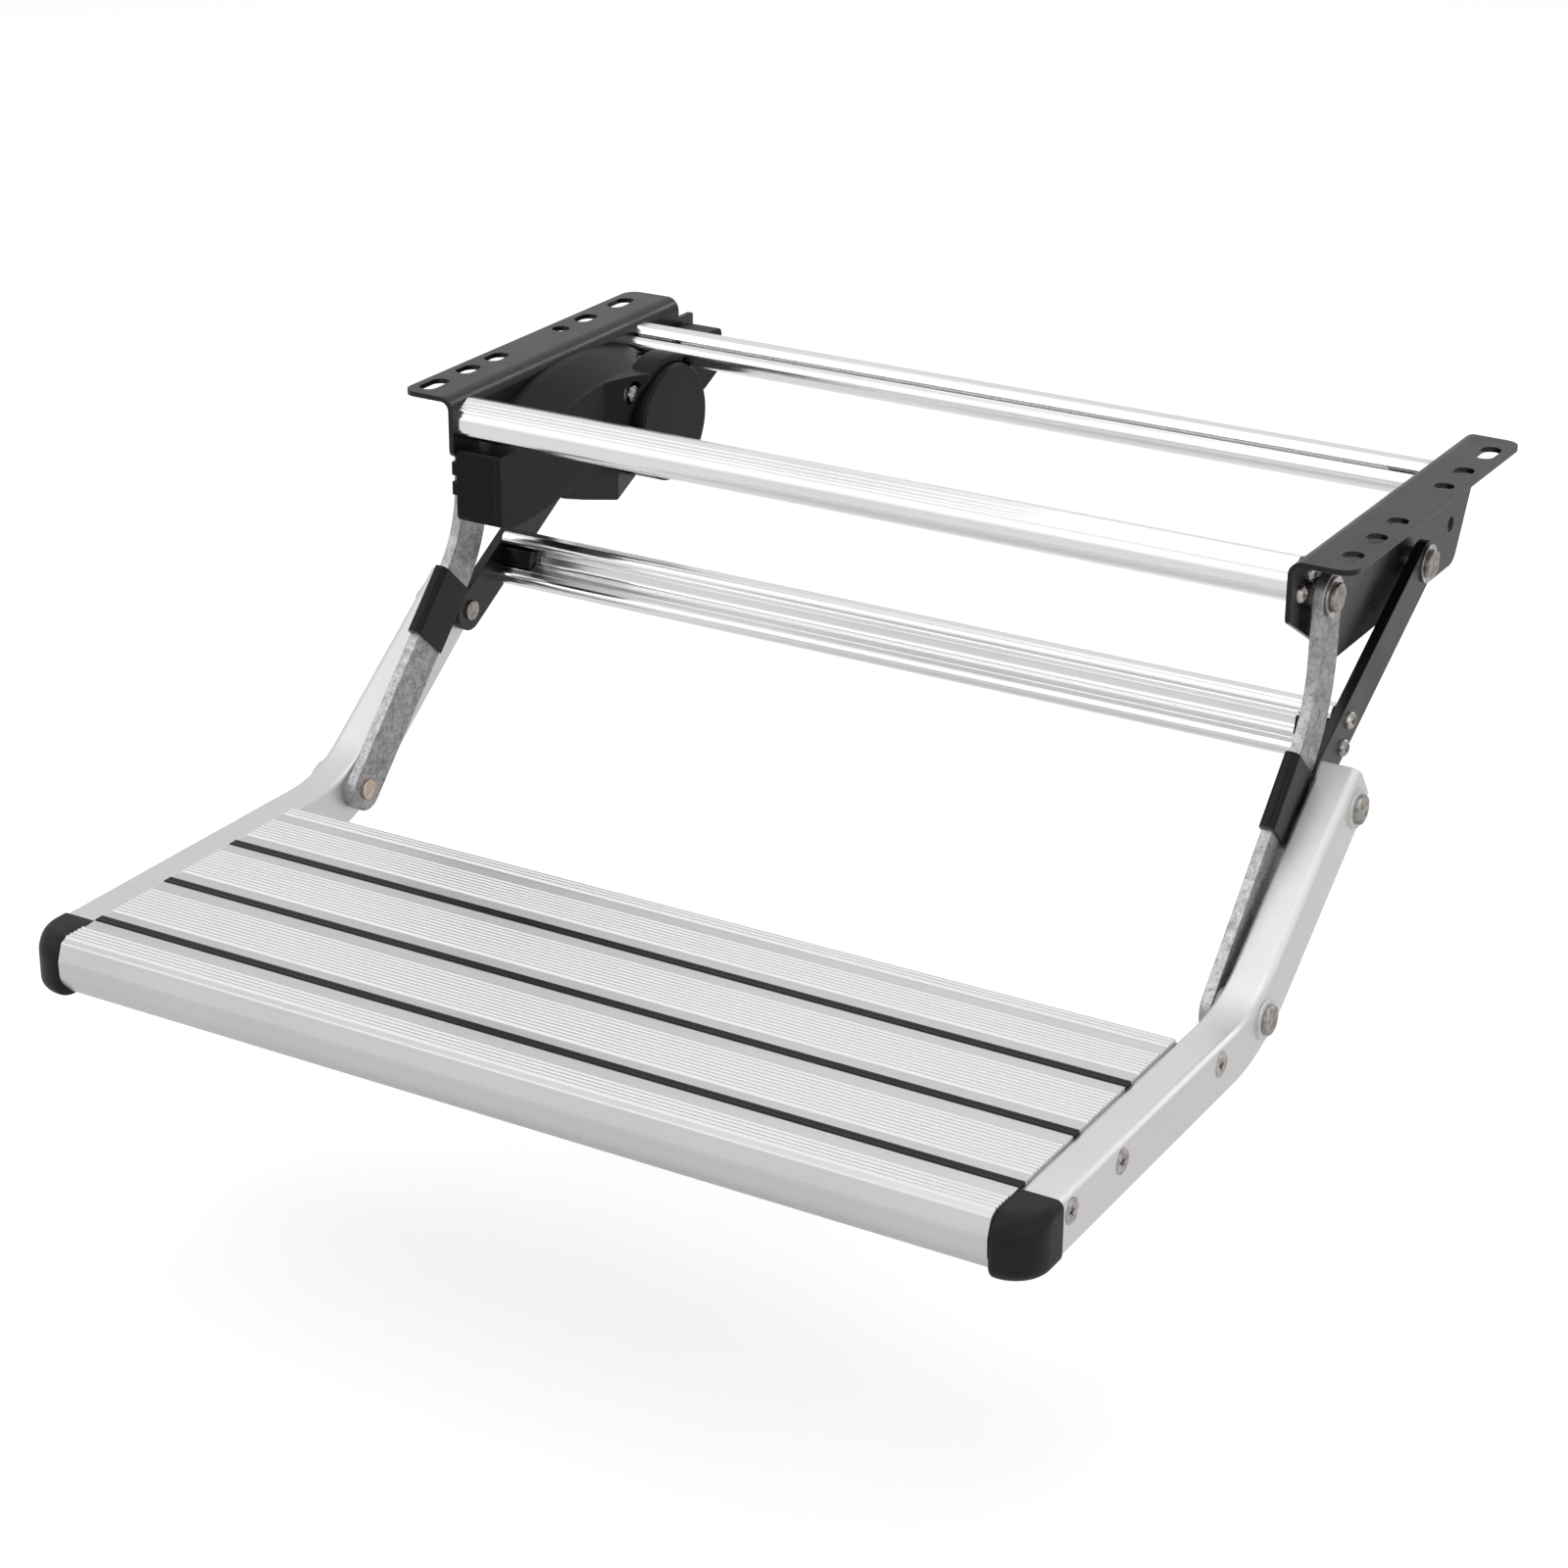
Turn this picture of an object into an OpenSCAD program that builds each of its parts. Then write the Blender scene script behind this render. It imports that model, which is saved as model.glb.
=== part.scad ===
// Folding entry step for a caravan or camper, shown swung out and ready to use.
// X runs across the vehicle, -Y is the side people step up from, +Z is up.
// The origin lies midway between the two round flange holes, on the top of the mounting flanges.

/* [Tread] */
// Width of the tread between the side bars
tread_w = 550; // [440:10:700]
// Depth of the tread from its nose to its rear edge
tread_d = 203; // [180:1:260]
// Drop from the mounting flanges to the top of the ribs
drop = 205.5; // [190:0.5:230]
// Rear edge of the tread in front of the round flange holes
tread_rear = 297; // [290:1:320]
// Height of the nose of the tread
nose_h = 34; // [30:1:40]
// Thickness of the extruded top plate
plate_t = 3; // [2:0.25:4]
// Pitch of the anti-slip ribs
rib_pitch = 3.05; // [2.5:0.05:4]
// Height of the ribs above their valleys
rib_h = 1.1; // [0.6:0.1:1.6]
// Width of a rubber strip
strip_w = 7; // [5:0.5:9]
// Depth of the channel that holds a rubber strip
strip_d = 2.4; // [1.5:0.1:2.6]
// First rubber strip behind the front of the nose
strip_first = 30.5; // [26:0.5:36]
// Flat band in front of each ribbed field
band = 9; // [6:0.5:12]

/* [Side bars] */
// Width of the closed side bar tube
bar_w = 23; // [20:1:26]
// Height of the side bar tube
bar_h = 31; // [28:1:34]
// Wall of the side bar tube
bar_wall = 2.5; // [1.5:0.25:3.5]
// Outer corner radius of the side bar tube
bar_r = 5; // [3:0.5:7]
// Corner radius of the side bar tube next to the tread
bar_inner_r = 2.5; // [1.5:0.5:5]
// Rise of the side bar's upper part over a run of 4
bar_rise = 3; // [2.8:0.05:3.1]
// Bend radius on the centre line of the side bar
bend_r = 90; // [75:1:100]
// Length of the black end cap that shows
cap_l = 31; // [26:1:36]
// Wall of the end cap's plug inside the tube
cap_plug_wall = 2; // [1.5:0.25:3]

/* [Arms] */
// Thickness of the steel arms
arm_t = 6; // [5:0.5:7]
// Width of the front arms
front_arm_w = 26; // [24:0.5:27]
// Width of the rear arms
rear_arm_w = 25; // [22:0.5:25]
// Bend radius of the front arms on their centre line
front_arm_bend = 80; // [60:1:90]
// Length of the rubber sleeve on a front arm
sleeve_l = 43; // [36:1:46]
// Start of the sleeve above the lower pivot
sleeve_from = 95; // [80:1:96]
// Thickness of the sleeve over the arm's front edge
sleeve_front_t = 4.5; // [2:0.25:5]
// Thickness of the sleeve on the arm's faces
sleeve_t = 1.4; // [1:0.1:1.6]

/* [Pivots] */
// Pin radius
pin_r = 6; // [5:0.25:7]
// Radial running clearance of a pin in its arm
pin_play = 0.05; // [0.02:0.01:0.1]
// Pin head radius
head_r = 8; // [7:0.25:9]
// Pin head height
head_h = 3; // [2:0.25:6]
// Washer radius
washer_r = 11; // [9:0.25:12]
// Thickness of the washers under the pin heads
washer_t = 1.5; // [1:0.25:2]
// Gap between an arm and the side bar, filled by a nylon washer
bar_gap = 2; // [1.75:0.25:3]
// Gap between an arm and the bracket web, filled by a spacer ring
web_gap = 4; // [3.75:0.25:6]
// Radius of the spacer rings
spacer_r = 9; // [8:0.25:10]
// Sideways play of a part that turns
side_play = 0.15; // [0.1:0.05:0.3]
// How far the lower and upper bar pins stand out of the arms
pin_proud = 2; // [1.5:0.25:4]

/* [Mounting brackets] */
// Steel thickness of the brackets
web_t = 3; // [2.5:0.25:4]
// Width of the flange, from the inner face of the web
flange_w = 36; // [32:0.5:40]
// Front end of the flange before the round hole
flange_front = 152; // [148:1:160]
// Rear end of the flange behind the round hole
flange_rear = 94; // [88:1:100]
// Height of the web below the flange top
web_h = 76; // [74:1:84]
// Inner bend radius of the bracket
fold_r = 5; // [3:0.5:7]
// Distance of the holes from the outer edge of the flange
hole_edge = 10.2; // [9:0.1:13]
// Radius of the mounting holes and half the width of the slots
hole_r = 5.5; // [4.5:0.25:6]
// Distance between the end centres of a short slot
short_slot = 7; // [6:0.5:11]
// Distance between the end centres of a long slot
long_slot = 11.5; // [10:0.5:16]

/* [Cross bars] */
// Wall of the aluminium cross bars
tube_wall = 2.2; // [1.8:0.1:2.8]
// Radius of the screw shanks
screw_r = 2.5; // [2:0.1:2.8]
// Radius of the pan heads
pan_r = 5; // [4:0.25:5.5]
// Height of the pan heads
pan_h = 3.2; // [2.5:0.1:3.5]
// Radius of the countersunk heads of the tread's screws
tread_head_r = 6.5; // [5:0.25:7]
// Length of the screws inside a bar
screw_l = 30; // [20:1:40]

/* [Drive unit] */
// Depth of the hood from the bracket web
hood_d = 31; // [28:1:34]
// Depth of the hood's shoulder behind the motor
shoulder_d = 12; // [8:1:16]
// Thickness of the hood's inner shell over the lower cover
shell_t = 4; // [3:0.5:6]
// Radius of the motor housing
motor_r = 36.5; // [34:0.5:38]
// Depth of the motor housing from the bracket web
motor_d = 42; // [40:1:46]
// Thickness of the round motor cap
cap_t = 3; // [2:0.25:4]
// Wall of the plastic mouldings
moulding_t = 3; // [2:0.25:4]

/* [Hidden] */
$fn = 64;

// Layers across the step, from the tread outwards and inwards
bar_in = tread_w / 2;
bar_out = bar_in + bar_w;
arm_out = bar_in - bar_gap;
arm_in = arm_out - arm_t;
web_out = arm_in - web_gap;
web_in = web_out - web_t;
flange_out = web_in + flange_w;
hole_x = flange_out - hole_edge;
fold_out_r = fold_r + web_t;

// Linkage pivots in the side view, as [y, z]
pivot_a = [-120, -27.5];
pivot_b = [19, -52.5];
pivot_c = [-238, -214.5];
pivot_d = [-129.5, -138.4];
front_arm_vertex = [-122, -92.6];

// Main lines of the tread and the side bars
nose_y = -tread_rear - tread_d;
rib_top = -drop;
flat_z = rib_top - rib_h / 2;
nose_bottom = rib_top - nose_h;
bar_top = rib_top - 2;
bar_mid = bar_top - bar_h / 2;
bar_angle = atan2(bar_rise, 4);
bar_vertex = [pivot_d[0] - (pivot_d[1] - bar_mid) * 4 / bar_rise, bar_mid];
bar_front = nose_y + cap_l;
bar_end_past_pivot = 15;
strip_step = (tread_d - strip_first - 1.5) / 3;
strip_y = [for (i = [0:2]) nose_y + strip_first + i * strip_step];
field_ribs = floor((strip_step - strip_w - band - 5) / rib_pitch);
last_field_ribs = field_ribs - 3;

// Screw lines, as [y, z]
front_tube_screws = [[-140.5, -21.5], [-126.5, -14]];
rear_tube_screw = [50, -11.5];
cross_bar_screw_a = [-83, -110];
cross_bar_screw_b = [-90, -123.5];
port_z = bar_top - 9;
tread_ports = [[strip_y[0] + strip_w + 3, port_z], [strip_y[1] + strip_w, port_z], [-tread_rear + 5.5, port_z]];
web_hole = [80, -50];
housing_bolt_at = [-17, -26.5];
motor_at = [18.5, -53];
casing_d = hood_d - shell_t;
hood_rear = 33.5;

function unit(v) = v / norm(v);
function along(angle) = [cos(angle), sin(angle)];

// Points of the arc that rounds corner c between its neighbours p and n
function corner(p, c, n, r, steps) =
    r == 0 ? [c] :
    let (u = unit(p - c), w = unit(n - c), half = acos(u * w) / 2,
        centre = c + unit(u + w) * r / sin(half), from = c + u * r / tan(half) - centre,
        turn = (u[0] * w[1] - u[1] * w[0] > 0 ? -1 : 1) * (180 - 2 * half),
        start = atan2(from[1], from[0]))
    [for (i = [0:steps]) centre + r * along(start + turn * i / steps)];

// Outline with rounded corners from points written as [y, z] or [y, z, radius]
function rounded(pts, steps = 6) =
    let (n = len(pts), at = function (i) let (p = pts[(i + n) % n]) [p[0], p[1]])
    [for (i = [0:n - 1]) each corner(at(i - 1), at(i), at(i + 1), len(pts[i]) > 2 ? pts[i][2] : 0, steps)];

// Outline of a flat bar of width w that runs from p over a bend at v to q, with round ends
function cranked(p, v, q, w, r) =
    let (u = unit(p - v), t = unit(q - v), inward = unit(u + t), half = acos(u * t) / 2,
        m = unit(inward - (inward * u) * u) * w / 2, n = unit(inward - (inward * t) * t) * w / 2,
        bend = inward * w / 2 / sin(half), round_end = w / 2 - 0.01)
    rounded([[each (p + m + u * w / 2), round_end], [each (p - m + u * w / 2), round_end],
        [each (v - bend), r + w / 2], [each (q - n + t * w / 2), round_end],
        [each (q + n + t * w / 2), round_end], [each (v + bend), r - w / 2]], 12);

// Extrudes a side view along X
module along_x(from, to) {
    translate([from, 0, 0]) rotate([90, 0, 90]) linear_extrude(to - from) children();
}

// Draws its children on the right, or mirrored on the left
module on_side(side) {
    if (side > 0) children();
    else mirror([1, 0, 0]) children();
}

module both_sides() {
    children();
    mirror([1, 0, 0]) children();
}

// Round bar along X at a point of the side view
module rod(at, r, from, to) {
    along_x(from, to) translate(at) circle(r);
}

module ring(at, r, hole, from, to) {
    along_x(from, to) translate(at) difference() {
        circle(r);
        circle(hole);
    }
}

// Flat bar with round ends between two points
module strap(from, to, w) {
    u = unit(to - from) * w / 2;
    side = [-u[1], u[0]];
    r = w / 2 - 0.01;
    polygon(rounded([[each (from - u + side), r], [each (to + u + side), r],
        [each (to + u - side), r], [each (from - u - side), r]], 12));
}

// Self-tapping pan-head screw along X, with its head outside the face at x = face
module pan_screw(at, face, length) {
    difference() {
        translate([face, at[0], at[1]]) rotate([0, 90, 0]) rotate_extrude() polygon(rounded([
            [0, -length], [screw_r - 1, -length], [screw_r, -length + 1.5], [screw_r, 0], [pan_r, 0],
            [pan_r, pan_h * 0.6, pan_h * 0.2], [pan_r * 0.6, pan_h, pan_h * 0.3], [0, pan_h]], 3));
        cross_recess(at, face + pan_h, 1.6);
    }
}

// Cross recess cut into a screw head from the face at x = top
module cross_recess(at, top, depth) {
    translate([top - depth / 2 + 0.01, at[0], at[1]]) {
        cube([depth, 4.4, 0.9], center = true);
        cube([depth, 0.9, 4.4], center = true);
    }
}

// L-shaped steel bracket: flange with slots on top, web hanging from its inner edge
module bracket(side) {
    web = rounded([
        [-flange_front, -fold_out_r, 0], [-flange_front, -34, 4], [-82, -web_h, 3],
        [90, -web_h, 10], [112, -33, 4], [112, -13, 2], [flange_rear + 1, -13, 1], [flange_rear + 1, -fold_out_r, 0]]);
    color([0.09, 0.09, 0.10]) on_side(side) difference() {
        union() {
            along_x(web_in, web_out) polygon(web);
            intersection() {
                rotate([90, 0, 0]) translate([0, 0, -flange_rear - 1]) linear_extrude(flange_front + flange_rear + 1)
                    bracket_fold();
                flange_plan();
            }
        }
        for (y = [-133.2, 67]) flange_slot(y, long_slot);
        for (y = [-98.8, -69.5, 27.4]) flange_slot(y, short_slot);
        translate([hole_x, 0, -web_t - 1]) cylinder(r = hole_r, h = web_t + 2);
        for (at = [pivot_a, pivot_b]) rod(at, pin_r, web_in - 1, web_out + 1);
        for (at = concat(front_tube_screws, [rear_tube_screw])) rod(at, screw_r, web_in - 1, web_out + 1);
        rod(web_hole, 4.5, web_in - 1, web_out + 1);
    }
}

// Flange and rounded fold of the bracket, seen along Y
module bracket_fold() {
    translate([web_in + fold_out_r, -web_t]) square([flange_w - fold_out_r, web_t]);
    intersection() {
        translate([web_in + fold_out_r, -fold_out_r]) difference() {
            circle(fold_out_r);
            circle(fold_r);
        }
        translate([web_in, -fold_out_r]) square(fold_out_r);
    }
}

// Plan of the flange with its rounded outer corners
module flange_plan() {
    translate([0, 0, -fold_out_r - 1]) linear_extrude(fold_out_r + 2)
        polygon(rounded([
            [web_in - 1, -flange_front, 0], [flange_out, -flange_front, 9],
            [flange_out, flange_rear, 9], [web_in - 1, flange_rear + 1, 0]]));
}

module flange_slot(y, length) {
    for (end = [-1, 1]) translate([hole_x, y + end * length / 2, -web_t - 1]) cylinder(r = hole_r, h = web_t + 2);
    translate([hole_x - hole_r, y - length / 2, -web_t - 1]) cube([2 * hole_r, length, web_t + 2]);
}

// Side view of the front tube: a leaning hollow section with a round lower lobe and a stepped upper face
module front_tube_section() {
    difference() {
        polygon(rounded([
            [-146.6, -10.2, 1], [-146.0, -8.2, 1], [-136, -3.2, 3], [-127.5, -5.2, 5], [-120.5, -13, 5],
            [-123, -22, 6], [-137, -28.5, 7], [-149, -23, 8], [-148.6, -12, 5]]));
        difference() {
            polygon(rounded([
                [-143, -9, 1], [-136, -5.8, 2], [-128.5, -7.4, 3], [-123.2, -13.5, 3],
                [-125.4, -20.2, 4], [-137, -25.6, 5], [-146.3, -21.6, 6], [-146, -12.5, 3]]));
            for (at = front_tube_screws) translate(at) circle(screw_r + tube_wall);
            polygon([front_tube_screws[0] + [-1, 5], front_tube_screws[1] + [-1, 4],
                front_tube_screws[1] - [-1, 1], front_tube_screws[0] - [-1, 1]]);
        }
        for (at = front_tube_screws) translate(at) circle(screw_r);
        for (i = [0:2]) translate([-144.2 + 2.4 * i, -7.35 + 1.2 * i]) circle(0.35, $fn = 16);
    }
}

module front_top_tube() {
    color([0.80, 0.80, 0.82]) along_x(-web_in, web_in) front_tube_section();
}

// Side view of the rear tube: small upper bead, open screw channel, round lower lobe
module rear_tube_section() {
    difference() {
        union() {
            polygon(rounded([
                [46, -5.5, 2.5], [56, -5.5, 2.5], [58.5, -12, 2], [58, -22, 4], [47.5, -26.4, 5],
                [36.5, -21.2, 6], [34, -12.5, 5], [44, -9.5, 1]]));
        }
        polygon(rounded([
            [40.5, -14.5, 1.5], [46, -16.5, 1], [55.5, -16.5, 1], [55.5, -20.6, 2], [47.5, -23.8, 3],
            [39.3, -19.6, 3]]));
        translate(rear_tube_screw) circle(screw_r);
        translate(rear_tube_screw - [10, screw_r * 0.8]) square([10, screw_r * 1.6]);
    }
}

module rear_top_tube() {
    color([0.80, 0.80, 0.82]) along_x(-web_in, web_in) rear_tube_section();
}

module tube_screws() {
    color([0.72, 0.72, 0.70]) both_sides()
        for (at = concat(front_tube_screws, [rear_tube_screw])) pan_screw(at, web_out, screw_l);
}

// Shouldered pin riveted flush into the bracket web, with its head outside the arm
module arm_pin(at, side) {
    color([0.62, 0.60, 0.58]) on_side(side) {
        rod(at, pin_r, web_in, arm_out + washer_t);
        rod(at, head_r, arm_out + washer_t, arm_out + washer_t + head_h);
    }
}

module pivot_washers() {
    color([0.66, 0.66, 0.67]) both_sides()
        for (at = [pivot_a, pivot_b]) ring(at, washer_r, pin_r, arm_out + side_play, arm_out + washer_t);
}

module pivot_spacers() {
    color([0.66, 0.66, 0.67]) both_sides()
        for (at = [pivot_a, pivot_b]) ring(at, spacer_r, pin_r, web_out, arm_in - side_play);
}

// Straight black arm from the bracket to the top of the side bar
module rear_arm(side) {
    color([0.10, 0.10, 0.11]) on_side(side) along_x(arm_in, arm_out) difference() {
        strap(pivot_b, pivot_d, rear_arm_w);
        for (at = [pivot_b, pivot_d]) translate(at) circle(pin_r + pin_play);
        for (at = [cross_bar_screw_a, cross_bar_screw_b]) translate(at) circle(screw_r);
    }
}

// Side view of the lower cross bar: upper bead, hollow channel open to the front, lower bead
module cross_bar_section() {
    difference() {
        polygon(rounded([
            [-97, -104.5, 3.5], [-93, -99.8, 3], [-80, -102, 4], [-77, -112, 5], [-82, -127, 5],
            [-92, -131.5, 4], [-104, -129, 5], [-104.5, -122, 3], [-97, -120, 1.5],
            [-90, -117.5, 3], [-89, -111, 3], [-92, -108.5, 1.5]]));
        for (at = [cross_bar_screw_a, cross_bar_screw_b]) translate(at) circle(screw_r);
        translate([-98, -120.4]) circle(0.4, $fn = 16);
    }
}

module lower_cross_bar() {
    color([0.80, 0.80, 0.82]) along_x(-arm_in, arm_in) cross_bar_section();
}

// Black blocks in the front channel, against the arms
module cross_bar_inserts() {
    block = rounded([[-94.6, -109.1, 0.8], [-92.2, -109.1, 0.5], [-89.7, -111.8, 2], [-90.7, -116.8, 2],
        [-95, -118.6, 0.5], [-97.2, -119.2, 0.8]], 4);
    color([0.07, 0.07, 0.08]) both_sides() along_x(arm_in - 20, arm_in) polygon(block);
}

module cross_bar_screws() {
    color([0.72, 0.72, 0.70]) both_sides()
        for (at = [cross_bar_screw_a, cross_bar_screw_b]) pan_screw(at, arm_out, screw_l);
}

module front_arm(side) {
    color([0.60, 0.60, 0.62]) on_side(side) along_x(arm_in, arm_out) difference() {
        polygon(cranked(pivot_a, front_arm_vertex, pivot_c, front_arm_w, front_arm_bend));
        translate(pivot_a) circle(pin_r + pin_play);
        translate(pivot_c) circle(pin_r);
    }
}

// Rubber sleeve clipped over the front edge of a front arm
module arm_sleeve(side) {
    dir = unit(front_arm_vertex - pivot_c);
    angle = atan2(dir[1], dir[0]);
    half = front_arm_w / 2;
    color([0.05, 0.05, 0.05]) on_side(side) translate([0, pivot_c[0], pivot_c[1]]) rotate([angle, 0, 0])
        translate([0, sleeve_from, 0]) rotate([-90, 0, 0]) linear_extrude(sleeve_l) difference() {
            polygon(rounded([
                [arm_in - sleeve_t, half, 0], [arm_out + sleeve_t, half, 0],
                [arm_out + sleeve_t, -half - sleeve_front_t, 3.6], [arm_in - sleeve_t, -half - sleeve_front_t, 3.6]]));
            translate([arm_in, -half]) square([arm_t, 3 * half]);
        }
}

// End of the lower pivot pin on the inner side of a front arm
module lower_pin_end(side) {
    color([0.72, 0.68, 0.58]) on_side(side) rod(pivot_c, pin_r, arm_in - pin_proud, arm_out);
}

// Closed section of the side bar, centred on its middle line
module bar_section(inset) {
    r = bar_r - inset;
    near = max(bar_inner_r - inset, 0);
    w = bar_w / 2 - inset;
    h = bar_h / 2 - inset;
    polygon(rounded([[-w, -h, near], [w, -h, r], [w, h, r], [-w, h, near]]));
}

// Straight, bend and straight of the side bar; the ends run on by the given lengths
module bar_run(inset, ahead, past) {
    tangent = bend_r * tan(bar_angle / 2);
    upper = norm(pivot_d - bar_vertex) + bar_end_past_pivot;
    translate([bar_in + bar_w / 2, 0, 0]) {
        translate([0, bar_front - ahead, bar_mid]) rotate([-90, 0, 0])
            linear_extrude(bar_vertex[0] - tangent - bar_front + ahead) bar_section(inset);
        translate([0, bar_vertex[0] - tangent, bar_mid + bend_r]) rotate([0, 90, 0])
            rotate_extrude(angle = bar_angle, $fn = 128) translate([bend_r, 0]) rotate(90) bar_section(inset);
        translate([0, bar_vertex[0], bar_mid]) rotate([bar_angle, 0, 0]) translate([0, tangent, 0])
            rotate([-90, 0, 0]) linear_extrude(upper - tangent + past) bar_section(inset);
    }
}

// Point of the side bar's upper part, measured along it from the upper pivot and down across it
function on_bar(s, n) = pivot_d + s * along(bar_angle) + n * along(bar_angle - 90);

module side_bar(side) {
    half = bar_h / 2;
    end = bar_end_past_pivot;
    color([0.78, 0.78, 0.79]) on_side(side) difference() {
        bar_run(0, 0, 0);
        bar_run(bar_wall, 1, 1);
        along_x(bar_in - 1, bar_out + 1) polygon([on_bar(end, half - 9), on_bar(end + 2, half - 9),
            on_bar(end + 2, half + 2), on_bar(end - 12, half + 2)]);
        for (at = [pivot_c, pivot_d]) rod(at, pin_r, bar_in - 1, bar_out + 1);
        for (at = tread_ports) {
            rod(at, screw_r, bar_in - 1, bar_in + bar_wall + 1);
            rod(at, tread_head_r, bar_out - bar_wall - 1, bar_out + 1);
        }
    }
}

// Ribbed top edge of the tread between two places, as points of the side view
function ribs(from, count) = [for (i = [0:count - 1])
    each let (y = from + i * rib_pitch) [[y, rib_top - rib_h], [y + 0.35 * rib_pitch, rib_top],
        [y + 0.75 * rib_pitch, rib_top], [y + 0.95 * rib_pitch, rib_top - rib_h]]];

// Channel for a rubber strip, undercut so that the strip is held
function strip_channel(y) = [[y, flat_z], [y, flat_z - 0.8], [y - 0.5, flat_z - strip_d],
    [y + strip_w + 0.5, flat_z - strip_d], [y + strip_w, flat_z - 0.8], [y + strip_w, flat_z]];

// Screw port hanging under the plate at height top, as points from its rear side to its front side
function port(at, top) = let (r = screw_r + tube_wall, a = acos(2 / r))
    [[at[0] + 2, top], for (i = [0:12]) at + r * along(a - i * (180 + 2 * a) / 12), [at[0] - 2, top]];

// Side view of the tread: ribbed plate with strip channels, hollow nose, screw ports
module tread_section() {
    under = flat_z - plate_t;
    thick = under - 1.6;
    rear = tread_ports[2];
    difference() {
        polygon(rounded(concat(
            [[nose_y + 18, nose_bottom], [nose_y + 10, nose_bottom, 4], [nose_y + 0.3, nose_bottom + 10, 12],
                [nose_y, rib_top - 12, 6], [nose_y + 3.4, rib_top - 2.6, 2]],
            ribs(nose_y + 6.8, 5),
            strip_channel(strip_y[0]), ribs(strip_y[0] + strip_w + band - 1.5, field_ribs),
            strip_channel(strip_y[1]), ribs(strip_y[1] + strip_w + band, field_ribs),
            strip_channel(strip_y[2]), ribs(strip_y[2] + strip_w + band, last_field_ribs),
            [[-tread_rear - 4 * rib_pitch, flat_z], [-tread_rear - 3.4 * rib_pitch, flat_z]],
            ribs(-tread_rear - 3 * rib_pitch, 3),
            [[-tread_rear, rib_top - 2]],
            [for (i = [0:9]) rear + (screw_r + tube_wall) * along(75 - i * 25)],
            [[-tread_rear - 4, under], [strip_y[2] + strip_w + 3, under], [strip_y[2] + strip_w + 3, thick],
                [strip_y[2] - 3, thick], [strip_y[2] - 3, under],
                [tread_ports[1][0] + 4, under], [tread_ports[1][0] + 4, thick]],
            port(tread_ports[1], thick),
            [[strip_y[1] - 3, thick], [strip_y[1] - 3, under],
                [tread_ports[0][0] + 4, under], [tread_ports[0][0] + 4, thick]],
            port(tread_ports[0], thick),
            [[nose_y + 18, thick]])));
        polygon(rounded([[nose_y + 3, nose_bottom + 11, 4], [nose_y + 3, rib_top - 11, 5],
            [nose_y + 6.5, rib_top - 6.2, 2], [nose_y + 15, rib_top - 6.2, 1],
            [nose_y + 15, nose_bottom + 3, 1], [nose_y + 11, nose_bottom + 3, 2]]));
        for (at = tread_ports) translate(at) circle(screw_r);
    }
}

module tread_board() {
    color([0.80, 0.80, 0.81]) along_x(-bar_in, bar_in) tread_section();
}

module grip_strip(y) {
    color([0.06, 0.06, 0.07]) along_x(-bar_in, bar_in) polygon([
        [y, flat_z - 0.8], [y, rib_top - 0.6], [y + 0.8, rib_top], [y + strip_w / 2 - 0.4, rib_top],
        [y + strip_w / 2, rib_top - 0.4], [y + strip_w / 2 + 0.4, rib_top], [y + strip_w - 0.8, rib_top],
        [y + strip_w, rib_top - 0.6], [y + strip_w, flat_z - 0.8], [y + strip_w + 0.5, flat_z - strip_d],
        [y - 0.5, flat_z - strip_d]]);
}

// Black cap over the front end of a side bar, shaped like the tread's nose, with a plug in the tube
module end_cap(side) {
    plug = bar_wall;
    color([0.06, 0.06, 0.06]) on_side(side) {
        intersection() {
            along_x(bar_in, bar_out + 0.5) polygon(rounded([
                [nose_y - 2, nose_bottom - 1, 9], [nose_y - 2, bar_top + 1, 13], [bar_front, bar_top + 0.5, 0],
                [bar_front, nose_bottom - 1, 0]], 8));
            translate([0, 0, nose_bottom - 5]) linear_extrude(nose_h + 10) polygon(rounded([
                [bar_in, bar_front, 0], [bar_in, nose_y - 2, 3], [bar_out + 0.5, nose_y - 2, 19],
                [bar_out + 0.5, bar_front, 0]], 8));
            translate([0, bar_front + 1, 0]) rotate([90, 0, 0]) linear_extrude(cap_l + 10) polygon(rounded([
                [bar_in, nose_bottom - 1, 0], [bar_out + 0.5, nose_bottom - 1, bar_r], [bar_out + 0.5, bar_top + 1, bar_r],
                [bar_in, bar_top + 1, 0]], 8));
        }
        difference() {
            translate([bar_in + bar_w / 2, bar_front - 2, bar_mid]) rotate([-90, 0, 0]) linear_extrude(16) difference() {
                bar_section(plug);
                bar_section(plug + cap_plug_wall);
            }
            along_x(bar_in - 1, bar_out + 1) translate(tread_ports[0] - [1, 1] * (tread_head_r + 0.3)) square(30);
        }
    }
}

// Countersunk screw through the side bar into a port of the tread
module tread_screws() {
    color([0.70, 0.66, 0.62]) both_sides() for (at = tread_ports) difference() {
        union() {
            rod(at, screw_r, bar_in - 18, bar_out - bar_wall);
            rod(at, tread_head_r, bar_out - bar_wall, bar_out + 0.4);
        }
        cross_recess(at, bar_out + 0.4, 1.4);
    }
}

// Pin through the top of a side bar and the end of the rear arm
module upper_bar_pin(side) {
    color([0.66, 0.62, 0.56]) on_side(side) {
        rod(pivot_d, pin_r, arm_in - pin_proud, bar_out + washer_t);
        rod(pivot_d, head_r, bar_out + washer_t, bar_out + washer_t + head_h);
    }
}

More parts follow.
